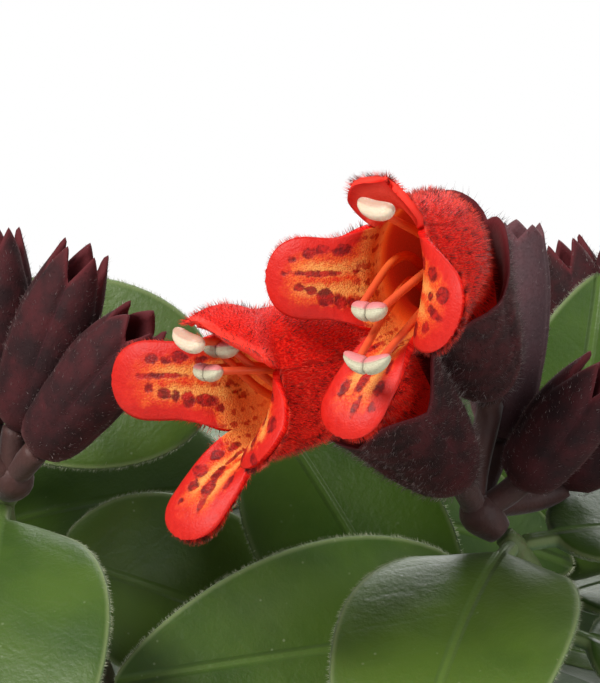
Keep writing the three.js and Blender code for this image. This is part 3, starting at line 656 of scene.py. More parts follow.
# %% Finish for stems
LEAF_STEP, STEM_RADIUS, SWELLING = 20, 1.35, 0.28
bark = Finish("stem_bark", Roughness=0.6)
height_up = bark.mark("age")
streaks = bark.noise(1.2, 4)
bark_colour = bark.over((0.085, 0.06, 0.03), ((0.11, 0.15, 0.045), height_up.step(0.25, 0.9)),
                        ((0.13, 0.045, 0.03), streaks.step(0.5, 0.8) * 0.6))
BARK = bark.coat(bark_colour, 0.5 + streaks * 0.2, streaks, 0.2)


def new_stem(name, curve):
    """A stem with a swelling at each pair of leaves."""
    length = np.linalg.norm(np.diff(arc(curve, np.linspace(0, 1, 60)), axis=0), axis=1).sum()

    def radius(t):
        joint = ((1 - t) * length / LEAF_STEP) % 1
        return (STEM_RADIUS + SWELLING * np.exp(-((joint - 0.15) / 0.07) ** 2)) * (1 - 0.12 * t)

    return wear(new_roll(name, 10, 64, round_arc(curve, radius), lambda u, v: {"age": v}), BARK)


# %% [markdown]
# ## The leaves
# The leaves grow in opposite pairs: fleshy, oval, pointed, folded a little along the midrib and bent
# back towards the tip. Each solid leaf is a row of rings of four corners, so its stance can be read back
# from the two rings next to its tip: where it starts, where it points, where it looks, and its size and
# bend. A finer leaf is then laid on the same stance, so nothing moves.

# %% Read the stance of every leaf
LEAF_LENGTH, LEAF_WIDTH, LEAF_THICK, LEAF_FOLD = 41, 23, 1.9, 0.16
PETIOLE, PETIOLE_RADIUS = 5, 0.95
FINE_RINGS, PLAIN_RINGS = (0.95, 0.84), (0.78, 0.47)


def half_width(share):
    """Half the width of a leaf of size 1 at a share of its blade."""
    share = np.clip(share, 0, 1)
    return LEAF_WIDTH / 2 * np.maximum(np.sin(np.pi * share**0.72), 0) ** (0.62 + 0.1 * share)


def ring_facts(places):
    """Centre, normal, side and width of a ring of four corners, or None if it isn't one."""
    wide, right, left = max((np.linalg.norm(places[a] - places[b]), a, b) for a in range(4) for b in range(a))
    top, foot = [k for k in range(4) if k not in (right, left)]
    centre = (places[top] + places[foot]) / 2
    normal = unit(places[top] - places[foot])
    fold = (places[right] + places[left]) / 2 - centre
    if fold @ normal < 0:
        normal = -normal
    if wide < 2.2 * np.linalg.norm(places[top] - places[foot]):
        return None
    return {"centre": centre, "normal": normal, "side": unit(places[right] - places[left]), "half": wide / 2}


def stance_of(tip, outer, inner):
    """The stance of a leaf from its tip and the two rings next to it, or None if they don't fit."""
    sizes = {shares: (outer["half"] / half_width(shares[0]), inner["half"] / half_width(shares[1]))
             for shares in (FINE_RINGS, PLAIN_RINGS)}
    misfit, shares = min((abs(sizes[s][0] / sizes[s][1] - 1), s) for s in sizes)
    if misfit > 0.03:
        return None
    size = sum(sizes[shares]) / 2
    outer_run, inner_run = (PETIOLE + share * LEAF_LENGTH * size for share in shares)
    forward = unit(tip - inner["centre"])
    side = outer["side"] * np.sign(np.cross(forward, outer["normal"]) @ outer["side"])
    turn = -np.cross(inner["normal"], outer["normal"]) @ side
    bend = math.asin(max(-0.99, min(0.99, turn))) / (outer_run - inner_run)
    bend = 1e-5 if abs(bend) < 1e-5 else bend
    angle = bend * outer_run
    way = np.cross(outer["normal"], side)
    along = outer["normal"] * math.sin(angle) + way * math.cos(angle)
    face = outer["normal"] * math.cos(angle) - way * math.sin(angle)
    base = outer["centre"] - along * math.sin(angle) / bend - face * (math.cos(angle) - 1) / bend
    return {"base": base, "along": along, "face": face, "side": side, "size": size, "bend": bend,
            "whole": PETIOLE + LEAF_LENGTH * size, "fine": shares == FINE_RINGS}


def read_leaves(node):
    """The stances of the leaves of one packed stem. A tip is a corner with four neighbours."""
    mesh = NODES[node].data
    mesh.calc_loop_triangles()
    loose_places = np.array([v.co for v in mesh.vertices], float) / MM
    places, names = np.unique(np.round(loose_places, 4), axis=0, return_inverse=True)
    near = [set() for _ in places]
    for triangle in mesh.loop_triangles:
        corners = {int(names.ravel()[k]) for k in triangle.vertices}
        for corner in corners:
            near[corner] |= corners - {corner}
    found = []
    for tip, first in enumerate(near):
        second = set().union(*(near[k] for k in first)) - first - {tip}
        if len(first) != 4 or len(second) != 4:
            continue
        rings = [ring_facts(places[sorted(ring)]) for ring in (first, second)]
        stance = stance_of(places[tip], *rings) if all(rings) else None
        if stance:
            found.append(stance)
    return found


stances = {number: read_leaves(f"leafy_stem_{number}") for number in range(1, len(STEMS) + 1)}
print("leaves:", sum(map(len, stances.values())))

# %% [markdown]
# ## The finish of a leaf
# The blade is dark green and fleshy, with a soft grey sheen like wax, a pale line down the midrib, faint
# side veins, a lighter rim and small pale pores. Marks on the corners say how far a place is from the
# midrib and the rim, so the pattern follows each leaf however it bends. Leaves differ in tone, and one
# leaf deep in the plant wears painted shade: its colour is darkened and its gloss lowered to stand in
# for the shadow it lies in.

# %% Finish for leaves
def new_leaf_skin(name, gloss, shade):
    """The skin of a leaf. A shade above 0 darkens its colour as painted shade, and a gloss below 1 dulls its
    sheen and shine.
    """
    leaf = Finish(name, Roughness=0.5, Sheen_Weight=0.10 * gloss, Sheen_Roughness=0.45,
                  Sheen_Tint=(0.9, 0.95, 0.85, 1), Specular_IOR_Level=0.35 * gloss,
                  Subsurface_Weight=0.05, Subsurface_Radius=(0.3, 1.0, 0.15), Subsurface_Scale=0.0006)
    beside, along_leaf, rim, upper, tone = (leaf.mark(m) for m in ("beside", "along", "rim", "upper", "tone"))
    clouds = leaf.noise(0.09, 3)
    fine_skin = leaf.noise(2.2, 3, 0.6)
    side_vein = (along_leaf / 5.2 - beside.size() / 7.5 + leaf.noise(0.12) * 0.3).rest()
    side_vein = 1 - (side_vein - 0.5).size().step(0.0, 0.09)
    in_blade = rim.step(0.8, 2.5)
    midrib = 1 - beside.size().step(0.15, 0.75)
    pale_rim = 1 - rim.step(0.15, 0.75)
    pore = 1 - leaf.cells(0.62).step(0.04, 0.13)
    top = leaf.over(
        (0.021, 0.056, 0.005),
        ((0.064, 0.120, 0.010), clouds.step(0.3, 0.7) * 0.6 + tone * 0.4),
        ((0.082, 0.122, 0.036), leaf.noise(0.05, 2).step(0.48, 0.75) * 0.5),
        ((0.07, 0.13, 0.03), side_vein * in_blade * 0.07),
        ((0.10, 0.17, 0.03), midrib * 0.45),
        ((0.2, 0.25, 0.10), pale_rim * 0.65),
        ((0.2, 0.25, 0.13), pore * leaf.noise(0.2).step(0.45, 0.6) * 0.55))
    underside = leaf.mix((0.1, 0.17, 0.07), (0.13, 0.2, 0.09), fine_skin)
    relief = fine_skin * 0.5 + leaf.noise(0.35) * 1.4 - midrib * 2.4 * upper - side_vein * 0.1 * in_blade
    return leaf.coat(leaf.over(underside, (top, upper), ((0.008, 0.022, 0.002), shade)),
                     0.36 + fine_skin * 0.16 + pale_rim * 0.2, relief, 0.1)


LEAF_SKIN = new_leaf_skin("leaf_skin", 1.0, 0.0)
SHADED_LEAF_SKIN = new_leaf_skin("painted_shade_leaf_skin", 0.3, 0.62)
# A leaf's number is a hundred for each stem and one for each leaf on it. Most leaves draw their tone.
# The leaf listed here lies deep in the plant and wears painted shade: a darker, duller skin for the shadow it
# is in.
PAINTED_SHADE_LEAVES = {403}
LEAF_TONES = {100: 0.5, 102: 1.5, 203: 0.6, 205: 1.3, 400: 1.0, 401: 1.0, 404: 0.2}

down = Finish("leaf_down", Roughness=0.6)
LEAF_DOWN = down.coat(down.mix((0.22, 0.26, 0.14), (0.46, 0.48, 0.34), down.noise(0.6)), 0.6)

# %% Model one leaf and lay it on every stance
PETIOLE_SHARE = 0.1


def leaf_rule(stance, number):
    """A place rule for the leaf of a stance, from the angle round it and the share along it."""
    size, bend, whole = stance["size"], stance["bend"], stance["whole"]
    length = whole - PETIOLE
    phase = 6.28 * scatter(number, 11)

    def local(u, v):
        angle = 2 * np.pi * u
        turn = angle - 0.22 * np.sin(2 * angle)
        share = (1 - np.cos(np.pi * np.clip((v - PETIOLE_SHARE) / (1 - PETIOLE_SHARE), 0, 1))) / 2
        share = np.where(v > 0.999, 1.0, share * 0.999)
        run = np.where(v < PETIOLE_SHARE, PETIOLE * v / PETIOLE_SHARE, PETIOLE + length * share)
        stalk = PETIOLE_RADIUS * np.clip(1 - share / 0.35, 0, 1)
        blade = half_width(share) * size
        half = (blade**3 + stalk**3) ** (1 / 3)
        thick = LEAF_THICK / 2 * (1 - 0.55 * share) * np.clip((1 - share) / 0.05, 0, 1) ** 0.5
        on = (v > 0.0005) & (v < 0.9995)
        half, thick = half * on, thick * on
        x = half * np.sin(turn)
        in_blade = smooth(share * 8)
        fold = LEAF_FOLD * (np.sqrt(x * x + 0.8) - 0.894) * in_blade
        wave = 0.35 * size * np.sin(7 * share + phase) * (x / np.maximum(half, 0.1)) ** 2 * in_blade
        return x, run, thick * np.cos(turn) + fold + wave * on, half, share, turn

    def place(u, v):
        x, run, rise, *_ = local(u, v)
        a = (bend * run)[:, None]
        ahead = np.sin(a) / bend + rise[:, None] * np.sin(a)
        up = (np.cos(a) - 1) / bend + rise[:, None] * np.cos(a)
        return stance["base"] + stance["side"] * x[:, None] + stance["along"] * ahead + stance["face"] * up

    def marks(u, v):
        x, run, _, half, share, turn = local(u, v)
        return {"beside": x, "along": run, "rim": half - np.abs(x), "upper": smooth(np.cos(turn) * 2 + 0.5),
                "tone": LEAF_TONES.get(number, scatter(number, 12))}

    return place, marks


def fringe(place, count, seed, length):
    """Roots and tips of hairs that stand along both edges of a leaf."""
    rng = np.random.default_rng(seed)
    v = rng.uniform(0.16, 0.99, count)
    u = np.where(rng.random(count) < 0.5, 0.25, 0.75) + rng.normal(0, 0.012, count)
    at = place(u, v)
    inner = place(np.where(u < 0.5, 0.12, 0.88), v) / 2 + place(np.where(u < 0.5, 0.38, 0.62), v) / 2
    ahead = unit(place(u, np.minimum(v + 0.01, 0.998)) - at)
    way = unit(unit(at - inner) + 0.35 * ahead + rng.normal(0, 0.28, (count, 3)))
    return stand(at, way, length, rng, 0.55, 0.05)


total = 0
for number, curve in enumerate(STEMS, 1):
    blades, hairs = [], []
    for k, stance in enumerate(stances[number]):
        index = 100 * number + k
        place, marks = leaf_rule(stance, index)
        sides, rows, many = (40, 34, 1200) if stance["fine"] else (20, 15, 90)
        blade = new_roll(f"leaf_{index}", sides, rows, place, marks)
        blades.append(wear(blade, SHADED_LEAF_SKIN if index in PAINTED_SHADE_LEAVES else LEAF_SKIN))
        hairs.append(fringe(place, many, index, 0.5))
    blades.append(new_hairs(f"down_{number}", hairs, 0.022, LEAF_DOWN))
    leaves = hand_over(put_together(f"leaves_{number}", blades), "leaf_green", f"leafy_stem_{number}")
    stem = hand_over(new_stem(f"stem_{number}", curve), "leaf_green", f"leafy_stem_{number}")
    total += len(leaves.data.polygons) + len(stem.data.polygons)
print("leafy stems: faces", total)

# %% [markdown]
# ## The cups
# Each flower stands in a cup of five joined sepals: a felted tube, almost black with a wine-red glow
# along its rim, that ends in five pointed teeth. The cups of buds are shut above. A cup is one rolled
# grid that goes up the outside, round the lip and down the inside, and its lip is drawn out to teeth.

# %% Finish for cups and their hairs
felt = Finish("cup_felt", Roughness=0.8, Sheen_Weight=0.11, Sheen_Roughness=0.4,
              Sheen_Tint=(0.9, 0.52, 0.5, 1), Specular_IOR_Level=0.25)
lip, share_up, ridge, dusty = (felt.mark(m) for m in ("lip", "height", "ridge", "dusty"))
mottle = felt.noise(0.35, 4)
strands = felt.noise(3.5, 2)
cup_colour = felt.over(
    (0.011, 0.0015, 0.002),
    ((0.060, 0.007, 0.009), mottle.step(0.3, 0.75)),
    ((0.085, 0.012, 0.014), (1 - share_up.step(0.0, 0.3)) * 0.5),
    ((0.12, 0.012, 0.016), (1 - lip.step(0.1, 1.3)) * 0.75),
    ((0.09, 0.018, 0.03), (1 - ridge.step(0.0, 0.1)) * 0.45),
    # The greyish felt layer is partly the grey down the cups have and partly painted light: on the tall shut
    # cup of the front bunch it is strong, to make that cup look lit.
    ((0.15, 0.085, 0.095), dusty * (0.35 + strands * 0.6)))
CUP_FELT = felt.coat(cup_colour, 0.7 + mottle * 0.2, strands * 0.5 + mottle, 0.12)

lining = Finish("cup_lining", Roughness=0.6)
CUP_LINING = lining.coat(lining.mix((0.04, 0.003, 0.004), (0.10, 0.008, 0.009), lining.noise(0.5)), 0.6)

stalk_skin = Finish("flower_stalk", Roughness=0.6, Sheen_Weight=0.2)
stalk_colour = stalk_skin.mix((0.022, 0.006, 0.006), (0.085, 0.022, 0.014), stalk_skin.noise(0.35, 3))
STALK = stalk_skin.coat(stalk_colour, 0.6, stalk_skin.noise(2.0), 0.1)

grey_down = Finish("cup_down", Roughness=0.5)
CUP_DOWN = grey_down.coat(grey_down.mix((0.07, 0.025, 0.027), (0.52, 0.43, 0.41),
                                        grey_down.noise(1.5).step(0.42, 0.75)), 0.5)

# %% Model the cups
CUP_WALL, TOOTH_LENGTH, LIP_AT, STALK_RADIUS = 0.8, 3.4, 0.6, 1.35
# Radii by share of the height, and the count, length and radius of the hairs, for (open, front) cups.
CUP_PROFILES = {
    (True, True): [(0, 0), (0.04, 2.0), (0.1, 3), (0.4, 5.3), (0.7, 6.3), (1, 7.5)],
    (True, False): [(0, 0), (0.04, 2.0), (0.1, 3), (0.45, 5.6), (1, 7.2)],
    (False, True): [(0, 0), (0.035, 1.7), (0.1, 2.7), (0.38, 4.1), (0.72, 4.2), (1, 3.2)],
    (False, False): [(0, 0), (0.04, 1.9), (0.12, 2.9), (0.58, 4.3), (1, 3.3)],
}
CUP_HAIRS = {(True, True): (3800, 1.15, 0.022), (False, True): (1300, 0.55, 0.02)}
FAR_CUP_HAIRS = (400, 0.7, 0.04)


def ends_of(cup):
    """The foot and the mouth of a cup, and the direction from one to the other."""
    foot, mouth = (np.array(cup[end], float) for end in ("foot", "mouth"))
    return foot, mouth, unit(mouth - foot)


def cup_rule(cup):
    """A place rule for a cup: v goes up the outside to the lip and down the inside."""
    foot, mouth, axis = ends_of(cup)
    length = np.linalg.norm(mouth - foot)
    up = square_to(np.array([0, 1.0, 0]) if abs(axis[2]) > 0.95 else UP, axis)
    side = np.cross(axis, up)
    radius = soft_profile(CUP_PROFILES[cup["open"], cup["front"]])
    floor_share, tooth_power, flare = (0.12, 1.6, 0.25) if cup["open"] else (0.6, 1.25, -0.55)

    def local(u, v):
        angle = 2 * np.pi * u
        outside = v <= LIP_AT
        risen = np.clip(v / LIP_AT, 0, 1)
        share = np.where(outside, np.sqrt(risen) * 0.4 + risen * 0.6,
                         1 - (1 - floor_share) * np.clip((v - 0.62) / 0.36, 0, 1))
        wall = np.where(outside, 0, CUP_WALL * smooth((v - LIP_AT) / 0.06))
        reach = np.maximum(radius(share) - wall, 0)
        reach = reach * np.where(~outside, 1 - smooth((v - 0.95) / 0.05), 1)
        near_lip = smooth((share - 0.72) / 0.28)
        tooth = np.abs(((5 * u + 0.5) % 1) - 0.5) * 2
        point = 1 - tooth**tooth_power
        taller = cup.get("tall", 0) * np.maximum(np.cos(angle - math.radians(cup.get("tall_at", 0))), 0)
        lift = (cup.get("tooth", TOOTH_LENGTH) * (point - 0.5) * near_lip
                + taller * smooth((share - 0.4) / 0.6))
        notch = np.exp(-(((tooth - 1) / 0.16) ** 2))
        reach = reach * (1 - 0.06 * notch * smooth(share * 1.6)) + flare * point * near_lip**2
        reach = np.maximum(reach, 0) * (v > 0.001) * (v < 0.999)
        return angle, share, reach, lift, outside, notch

    def place(u, v):
        angle, share, reach, lift, *_ = local(u, v)
        centre = foot + axis * (share * length + lift)[:, None]
        return centre + up * (reach * np.cos(angle))[:, None] + side * (reach * np.sin(angle))[:, None]

    def marks(u, v):
        angle, share, reach, lift, outside, notch = local(u, v)
        return {"lip": np.where(outside, (1 - share) * length, 0), "height": share,
                "ridge": 1 - notch * outside * smooth(share * 2), "dusty": cup.get("dusty", 0.0)}

    return place, marks


def stalk_curve(cup, fork, direction):
    """The arc of a stalk, from inside the knob to inside the foot of its cup."""
    foot, _, axis = ends_of(cup)
    reach = np.linalg.norm(foot - fork)
    return [fork - (foot - fork) * 0.07, fork + direction * 0.3 * reach,
            foot - axis * 0.3 * reach, foot + axis * 1.2]


def new_bunch(number, tip, direction, cups):
    """The cups of one bunch with their stalks and the knob that they grow from."""
    root = tip + direction * GAP
    fork = root + direction * 3
    knob_radius = soft_profile([(0, 1.4), (0.3, 2.0), (0.55, 2.3), (0.8, 1.8), (1, 0.4)])
    knob = round_curve(lambda t: root + direction * (6 * t)[:, None],
                       lambda t: np.broadcast_to(direction, (len(t), 3)), knob_radius)
    parts = [wear(new_roll("knob", 16, 12, knob), STALK)]
    for k, cup in enumerate(cups):
        place, marks = cup_rule(cup)
        sides, rows = (60, 44) if cup["front"] else (20, 22)
        shell = new_roll(f"cup_{number}_{k}", sides, rows, place, marks)
        parts.append(wear(shell, CUP_FELT, CUP_LINING))
        stalk = round_arc(stalk_curve(cup, fork, direction), lambda t: STALK_RADIUS + 0.1 * t)
        parts.append(wear(new_roll("stalk", 10, 14, stalk), STALK))
        many, long, thin = CUP_HAIRS.get((cup["open"], cup["front"]), FAR_CUP_HAIRS)
        at, normal, ahead, rng = pores(lambda a, b, p=place: p(a, b * LIP_AT), many, 100 * number + k)
        way = unit(normal + 0.9 * ahead + rng.normal(0, 0.35, at.shape))
        parts.append(new_hairs("cup_hairs", [stand(at, way, long, rng)], thin, CUP_DOWN))
    return hand_over(put_together(f"cups_{number}", parts), "calyx_maroon", f"calyx_bunch_{number}")


# %% [markdown]
# ## The flowers
# A flower is one thin sheet: a tube that leaves its cup, bends forward and widens to a throat, and four
# lobes round it: a short hood, one lobe to each side and a lip below. Tube and lobes are grids with
# the same columns along the throat, joined there and given their thickness by Solidify, whose inner
# skin takes a finish of its own. Each lobe rolls back a little at its edge.

# %% Rules of a flower's form
PETAL_WALL, TUBE_FOOT_RADIUS, TUBE_FOOT, THROAT_RADIUS, THROAT_SQUEEZE = 0.75, 1.8, 0.14, 7.6, 0.58
ROOT_WIDTH, TUBE_DEPTH = 9, 26
LOBE_END, LOBE_STEPS = 2.3, 12


def squeeze(share):
    return blend(1, THROAT_SQUEEZE, share * share)


def tube_axis(bloom):
    """A rule for the middle of a bloom's tube: centre, up and side at each share."""
    foot, mouth, axis = ends_of(bloom["cup"])
    start = foot + axis * TUBE_FOOT * np.linalg.norm(mouth - foot)
    throat, forward = bloom["throat"], bloom["forward"]
    reach = np.linalg.norm(throat - mouth)
    curve = [mouth, mouth + axis * 0.4 * reach, throat - forward * 0.4 * reach, throat]

    def at(share):
        share = np.asarray(share, float)
        in_cup = (share < 0.5)[:, None]
        later = np.clip(2 * share - 1, 0, 1)
        centre = np.where(in_cup, start + (mouth - start) * (2 * share)[:, None], arc(curve, later))
        way = np.where(in_cup, axis, arc_way(curve, later))
        up = square_to(np.broadcast_to(bloom["up"], way.shape), way)
        return centre, up, np.cross(way, up)
    return at


def throat_rim(bloom, angle):
    side = np.cross(bloom["forward"], bloom["up"])
    angle = np.radians(angle)[:, None]
    return (bloom["throat"] + bloom["up"] * THROAT_RADIUS * np.cos(angle)
            + side * THROAT_RADIUS * THROAT_SQUEEZE * np.sin(angle))


def tube_rule(bloom, middle, half):
    """The part of the tube behind one lobe, from its foot to the throat."""
    axis = tube_axis(bloom)

    def place(u, v):
        degrees = middle + half * (2 * u - 1)
        angle = np.radians(degrees)
        centre, up, side = axis(np.clip(v, 0, 1))
        radius = blend(TUBE_FOOT_RADIUS, THROAT_RADIUS, np.sin(np.pi / 2 * np.clip(v, 0, 1) ** 1.15))
        at = (centre + up * (radius * np.cos(angle))[:, None]
              + side * (radius * squeeze(v) * np.sin(angle))[:, None])
        return np.where((v >= 1)[:, None], throat_rim(bloom, degrees), at)
    return place


def lobe_rule(bloom, shape):
    """One lobe, from the throat's rim to its round end."""
    forward, up = bloom["forward"], bloom["up"]
    side = np.cross(forward, up)
    aim = math.radians(shape["aim"])
    out = up * math.cos(aim) + side * math.sin(aim)
    across = np.cross(forward, out)
    root = throat_rim(bloom, np.array([shape["middle"]]))[0]
    round_from = 1 - 0.5 * shape["width"] / shape["length"]

    def bend(share):
        return np.radians(blend(shape["leave"], shape["spread"], smooth(share)))

    def local(u, v):
        """Reach along the lobe, the share of its width that is left there, and 1 at its edge."""
        reach = 1 - (1 - np.clip(v, 0, 1)) ** 1.8
        end = np.clip((reach - round_from) / (1 - round_from), 0, 1)
        taper = (1 - end**LOBE_END) ** (1 / LOBE_END)
        edge = ((np.abs(2 * u - 1) * taper) ** LOBE_END + end**LOBE_END) ** (1 / LOBE_END)
        return reach, taper, edge

    def place(u, v):
        reach, taper, edge = local(u, v)
        rim = throat_rim(bloom, shape["middle"] + shape["half"] * (2 * u - 1))
        rim_across = (rim - root) @ across
        sag = (root - rim) @ out
        at = rim.copy()
        for i in range(LOBE_STEPS):
            angle = bend(reach * (i + 0.5) / LOBE_STEPS)
            step = shape["length"] * reach / LOBE_STEPS
            at = at + forward * (np.cos(angle) * step)[:, None] + out * (np.sin(angle) * step)[:, None]
        wide = blend(rim_across, (u - 0.5) * shape["width"], smooth(2.2 * reach)) * taper
        lean = bend(reach) * smooth(3 * reach)
        settled = sag * smooth(1.3 * reach)
        crease = np.exp(-((2 * u - 1) / 0.13) ** 2) * (1 - reach)
        roll = smooth(2 * reach) * (0.6 * edge**4 - 0.2 * crease)
        over = settled * (1 - (1 - shape["flat"]) * taper) * np.cos(lean) + roll
        even = settled * np.sin(lean)
        return (at + across * (wide - rim_across)[:, None]
                + out * (over * np.cos(lean) + even * np.sin(lean))[:, None]
                + forward * (even * np.cos(lean) - over * np.sin(lean))[:, None])

    def spot(u, v):
        """Where a corner is on the flat lobe, across and along, and how far inside its edge, in mm."""
        reach, taper, edge = local(u, v)
        wide = blend(ROOT_WIDTH, shape["width"], smooth(2.2 * reach))
        inside = np.where(reach > 0.12, (1 - edge) * wide / 2, 3 - 10 * np.maximum(reach - 0.02, 0))
        return (u - 0.5) * wide * taper, reach * shape["length"], inside
    return place, spot


LOBE_WORDS = ("middle", "half", "aim", "length", "width", "leave", "spread", "flat")
LOBES = {name: dict(zip(LOBE_WORDS, values)) for name, values in {
    "hood": (0, 47, 0, 7.5, 8.6, 8, 6, 0.5),
    "left": (92, 45, 92, 9.6, 8, 22, 60, 1),
    "lip": (180, 43, 180, 10.6, 6.6, 25, 62, 1),
    "right": (268, 45, 268, 9.6, 8, 22, 60, 1),
}.items()}


def lobe_shapes(bloom):
    """The four lobes of a bloom: the usual ones, with what this bloom has of its own."""
    return {name: {**usual, **bloom.get("lobes", {}).get(name, {})} for name, usual in LOBES.items()}


# %% [markdown]
# ## Freckles
# The throat's lobes are yellow-orange inside a scarlet edge, with wine-red freckles in two rows and a
# dark line down the middle. Freckles are laid out as ellipses on each flat lobe: across, along, half
# width, half length in millimetres and, for some, a turn in degrees. Every corner keeps how deep it
# lies in the nearest one, and the finish cuts that number off with a wavy edge, which gives crisp,
# uneven freckles.

# %% Lay out the freckles
FRECKLES = {
    "hood": [],
    "left": [(-2.4, 5.9, 0.45, 0.6), (-2.8, 4.7, 0.45, 0.6), (-2.7, 2.8, 0.55, 1.0),
            (-1.8, 7.4, 0.3, 0.4), (-0.5, 4.9, 0.34, 2.5), (-0.6, 1.0, 0.18, 0.6),
            (-1.3, 0.5, 0.16, 0.5), (0.8, 6.7, 0.45, 0.5), (1.1, 5.6, 0.5, 0.5), (1.8, 4.3, 0.9, 0.8),
            (2.1, 3.0, 0.7, 0.5), (2.1, 1.8, 0.5, 0.65), (0.9, 0.8, 0.16, 0.55), (-0.4, 8.1, 0.22, 0.3),
            (1.8, 0.5, 0.25, 0.4)],
    "lip": [(-0.1, 5.3, 0.42, 1.6), (0.6, 7.9, 0.36, 1.15), (-2.6, 1.5, 0.3, 1.5), (1.9, 5.7, 0.4, 0.8),
            (-1.5, 6.7, 0.45, 1.0), (2.1, 7.6, 0.3, 0.5), (0.3, 3.0, 0.25, 1.0), (0, -1.2, 0.25, 3.0),
            (-1.9, 4.3, 0.3, 0.7), (2.0, 3.4, 0.3, 0.8), (-1.2, -0.8, 0.16, 0.7), (1.1, -1.2, 0.16, 0.8)],
    "right": [(0.7, 0.7, 0.6, 1.2), (1.9, 7.6, 0.8, 0.85), (0, 7.8, 0.45, 1.15), (-3.0, 5.6, 0.75, 0.95),
            (-1.8, 7.5, 0.75, 0.5), (0.9, 6.2, 0.45, 0.5), (0, 3.0, 0.42, 1.3), (2.6, 5.2, 0.6, 0.8),
            (-2.4, 2.8, 0.6, 0.9), (2.4, 2.8, 0.6, 0.8)],
}
FRECKLES_B = {
    "hood": [],
    "left": [(-2.2, 7.2, 0.5, 0.65), (-2.1, 5.8, 0.45, 0.4), (-2.4, 4.6, 0.6, 0.75),
            (-0.5, 6.2, 0.33, 2.3), (-0.4, 8.2, 0.3, 0.6), (0.6, 7.4, 0.55, 0.45), (1.2, 6.0, 0.6, 0.65),
            (1.5, 4.9, 0.65, 0.4), (1.8, 3.7, 0.9, 0.6), (1.8, 2.0, 0.6, 1.1), (2.4, 0.7, 0.45, 0.5),
            (1.1, -0.8, 0.16, 0.55), (0.6, -0.4, 0.16, 0.5), (1.6, -1.2, 0.16, 0.4), (-2.0, 2.6, 0.4, 0.6)],
    "lip": [(-2.6, 0.5, 0.5, 0.6), (-2.6, 2.4, 0.65, 0.75), (-2.2, 4.5, 0.85, 0.7),
            (-1.5, 6.1, 0.65, 0.6), (-0.9, 1.4, 0.35, 1.6, -20), (-0.3, 3.7, 0.5, 1.2, -15),
            (0.4, 5.7, 0.65, 1.1, -15), (0.9, 7.4, 0.4, 0.85, -10), (2.1, 4.4, 0.3, 0.9),
            (2.2, 2.2, 0.25, 0.9), (-1.0, -1.4, 0.25, 1.8), (-1.6, 8.0, 0.3, 0.35)],
    "right": [(-0.5, 4.4, 0.6, 1.4), (-2.4, 4.6, 0.7, 1.3), (0.8, 2.8, 0.45, 1.2), (2.6, 1.4, 0.4, 1.2),
            (-0.5, 7.0, 0.5, 0.7), (2.2, 4.6, 0.6, 0.9), (-2.2, 1.8, 0.5, 0.9)],
}


def depth_in(freckles, across, along):
    """How many millimetres inside the nearest freckle a place lies; below 0 outside."""
    best = np.full(np.shape(across), -3.0)
    for x, y, half_across, half_along, *turn in freckles:
        angle = math.radians(sum(turn))
        c, s = math.cos(angle), math.sin(angle)
        a, b = across - x, along - y
        ratio = np.hypot((a * c + b * s) / half_across, (b * c - a * s) / half_along)
        best = np.maximum(best, (1 - ratio) * min(half_across, half_along))
    return best


# %% Finishes for petals
# The outside of the petals sends out a little of its own red as light, a painted glow that brightens it
# though it is no lamp.
scarlet = Finish("glowing_petal_outside", Roughness=0.55, Specular_IOR_Level=0.12, Subsurface_Weight=0.05,
                 Emission_Strength=0.11, Subsurface_Radius=(1.0, 0.15, 0.05), Subsurface_Scale=0.0006)
skin = scarlet.noise(4.0, 3, 0.6)
down_tube = (scarlet.mark("ahead") - scarlet.mark("inward")) * 2.0
over_tube = scarlet.node("CombineXYZ", {}, {0: scarlet.mark("middle") * 5.0, 1: down_tube, 2: 0.0})
combed = scarlet.noise(1.6, 2, 0.5, over_tube)
band = (1 - scarlet.mark("margin").step(0.5, 1.2)) * scarlet.mark("hooded")
red = scarlet.over(
    (0.74, 0.004, 0.003),
    ((0.98, 0.018, 0.008), scarlet.noise(0.5, 3)),
    ((0.42, 0.003, 0.003), combed.step(0.5, 0.62) * 0.5),
    ((0.98, 0.035, 0.014), (1 - combed.step(0.35, 0.48)) * 0.6),
    ((0.95, 0.055, 0.035), band * 0.8))
# Painted glow: the outside's red is also its emission colour.
scarlet.feed(scarlet.shader.inputs["Emission Color"], red)
fur = combed.step(0.42, 0.6) * 0.8 * (1 - band)
GLOWING_PETAL_OUTSIDE = scarlet.coat(red, 0.5 + skin * 0.2, skin * 0.4 - fur, 0.16)

inner = Finish("petal_inside", Roughness=0.45, Subsurface_Weight=0.06, Subsurface_Radius=(1.0, 0.25, 0.08),
               Subsurface_Scale=0.0006, Specular_IOR_Level=0.32, Emission_Strength=0.5)
freckle, margin, inward, ahead, hooded, middle = (
    inner.mark(m) for m in ("freckle", "margin", "inward", "ahead", "hooded", "middle"))
ripple = inner.noise(1.3, 4)
beads = inner.cells(5.5)
edge_red = inner.mix((0.50, 0.006, 0.004), (0.74, 0.020, 0.009), ripple)
orange = inner.mix((0.68, 0.022, 0.007), (0.84, 0.15, 0.016), (ripple * 0.7 + beads * 0.5).step(0.35, 0.95))
gold = inner.mix((0.82, 0.22, 0.03), (0.92, 0.50, 0.12), beads.step(0.1, 0.45))
beside_line = (middle.size() - 1.0 + (ripple - 0.5) * 1.6).size()
ground = inner.over(orange, (gold, (1 - beside_line.step(0.1, 1.0)) * 0.6 * (1 - ahead.step(5.0, 8.0))),
                    (gold, (1 - ahead.step(0.0, 1.6)) * 0.45))
to_ground = (margin + (ripple - 0.5) * 1.6).step(0.9, 2.0) * (1 - hooded) * (1 - ahead.step(6.8, 9.2) * 0.85)
streak = (inner.noise(1.0, 2) + (middle * 5).wave() * 0.12).step(0.55, 0.66) * (1 - ahead.step(0.5, 3.0))
spotted = (freckle + (inner.noise(2.2, 3) - 0.5) * 0.5).step(-0.1, 0.1)
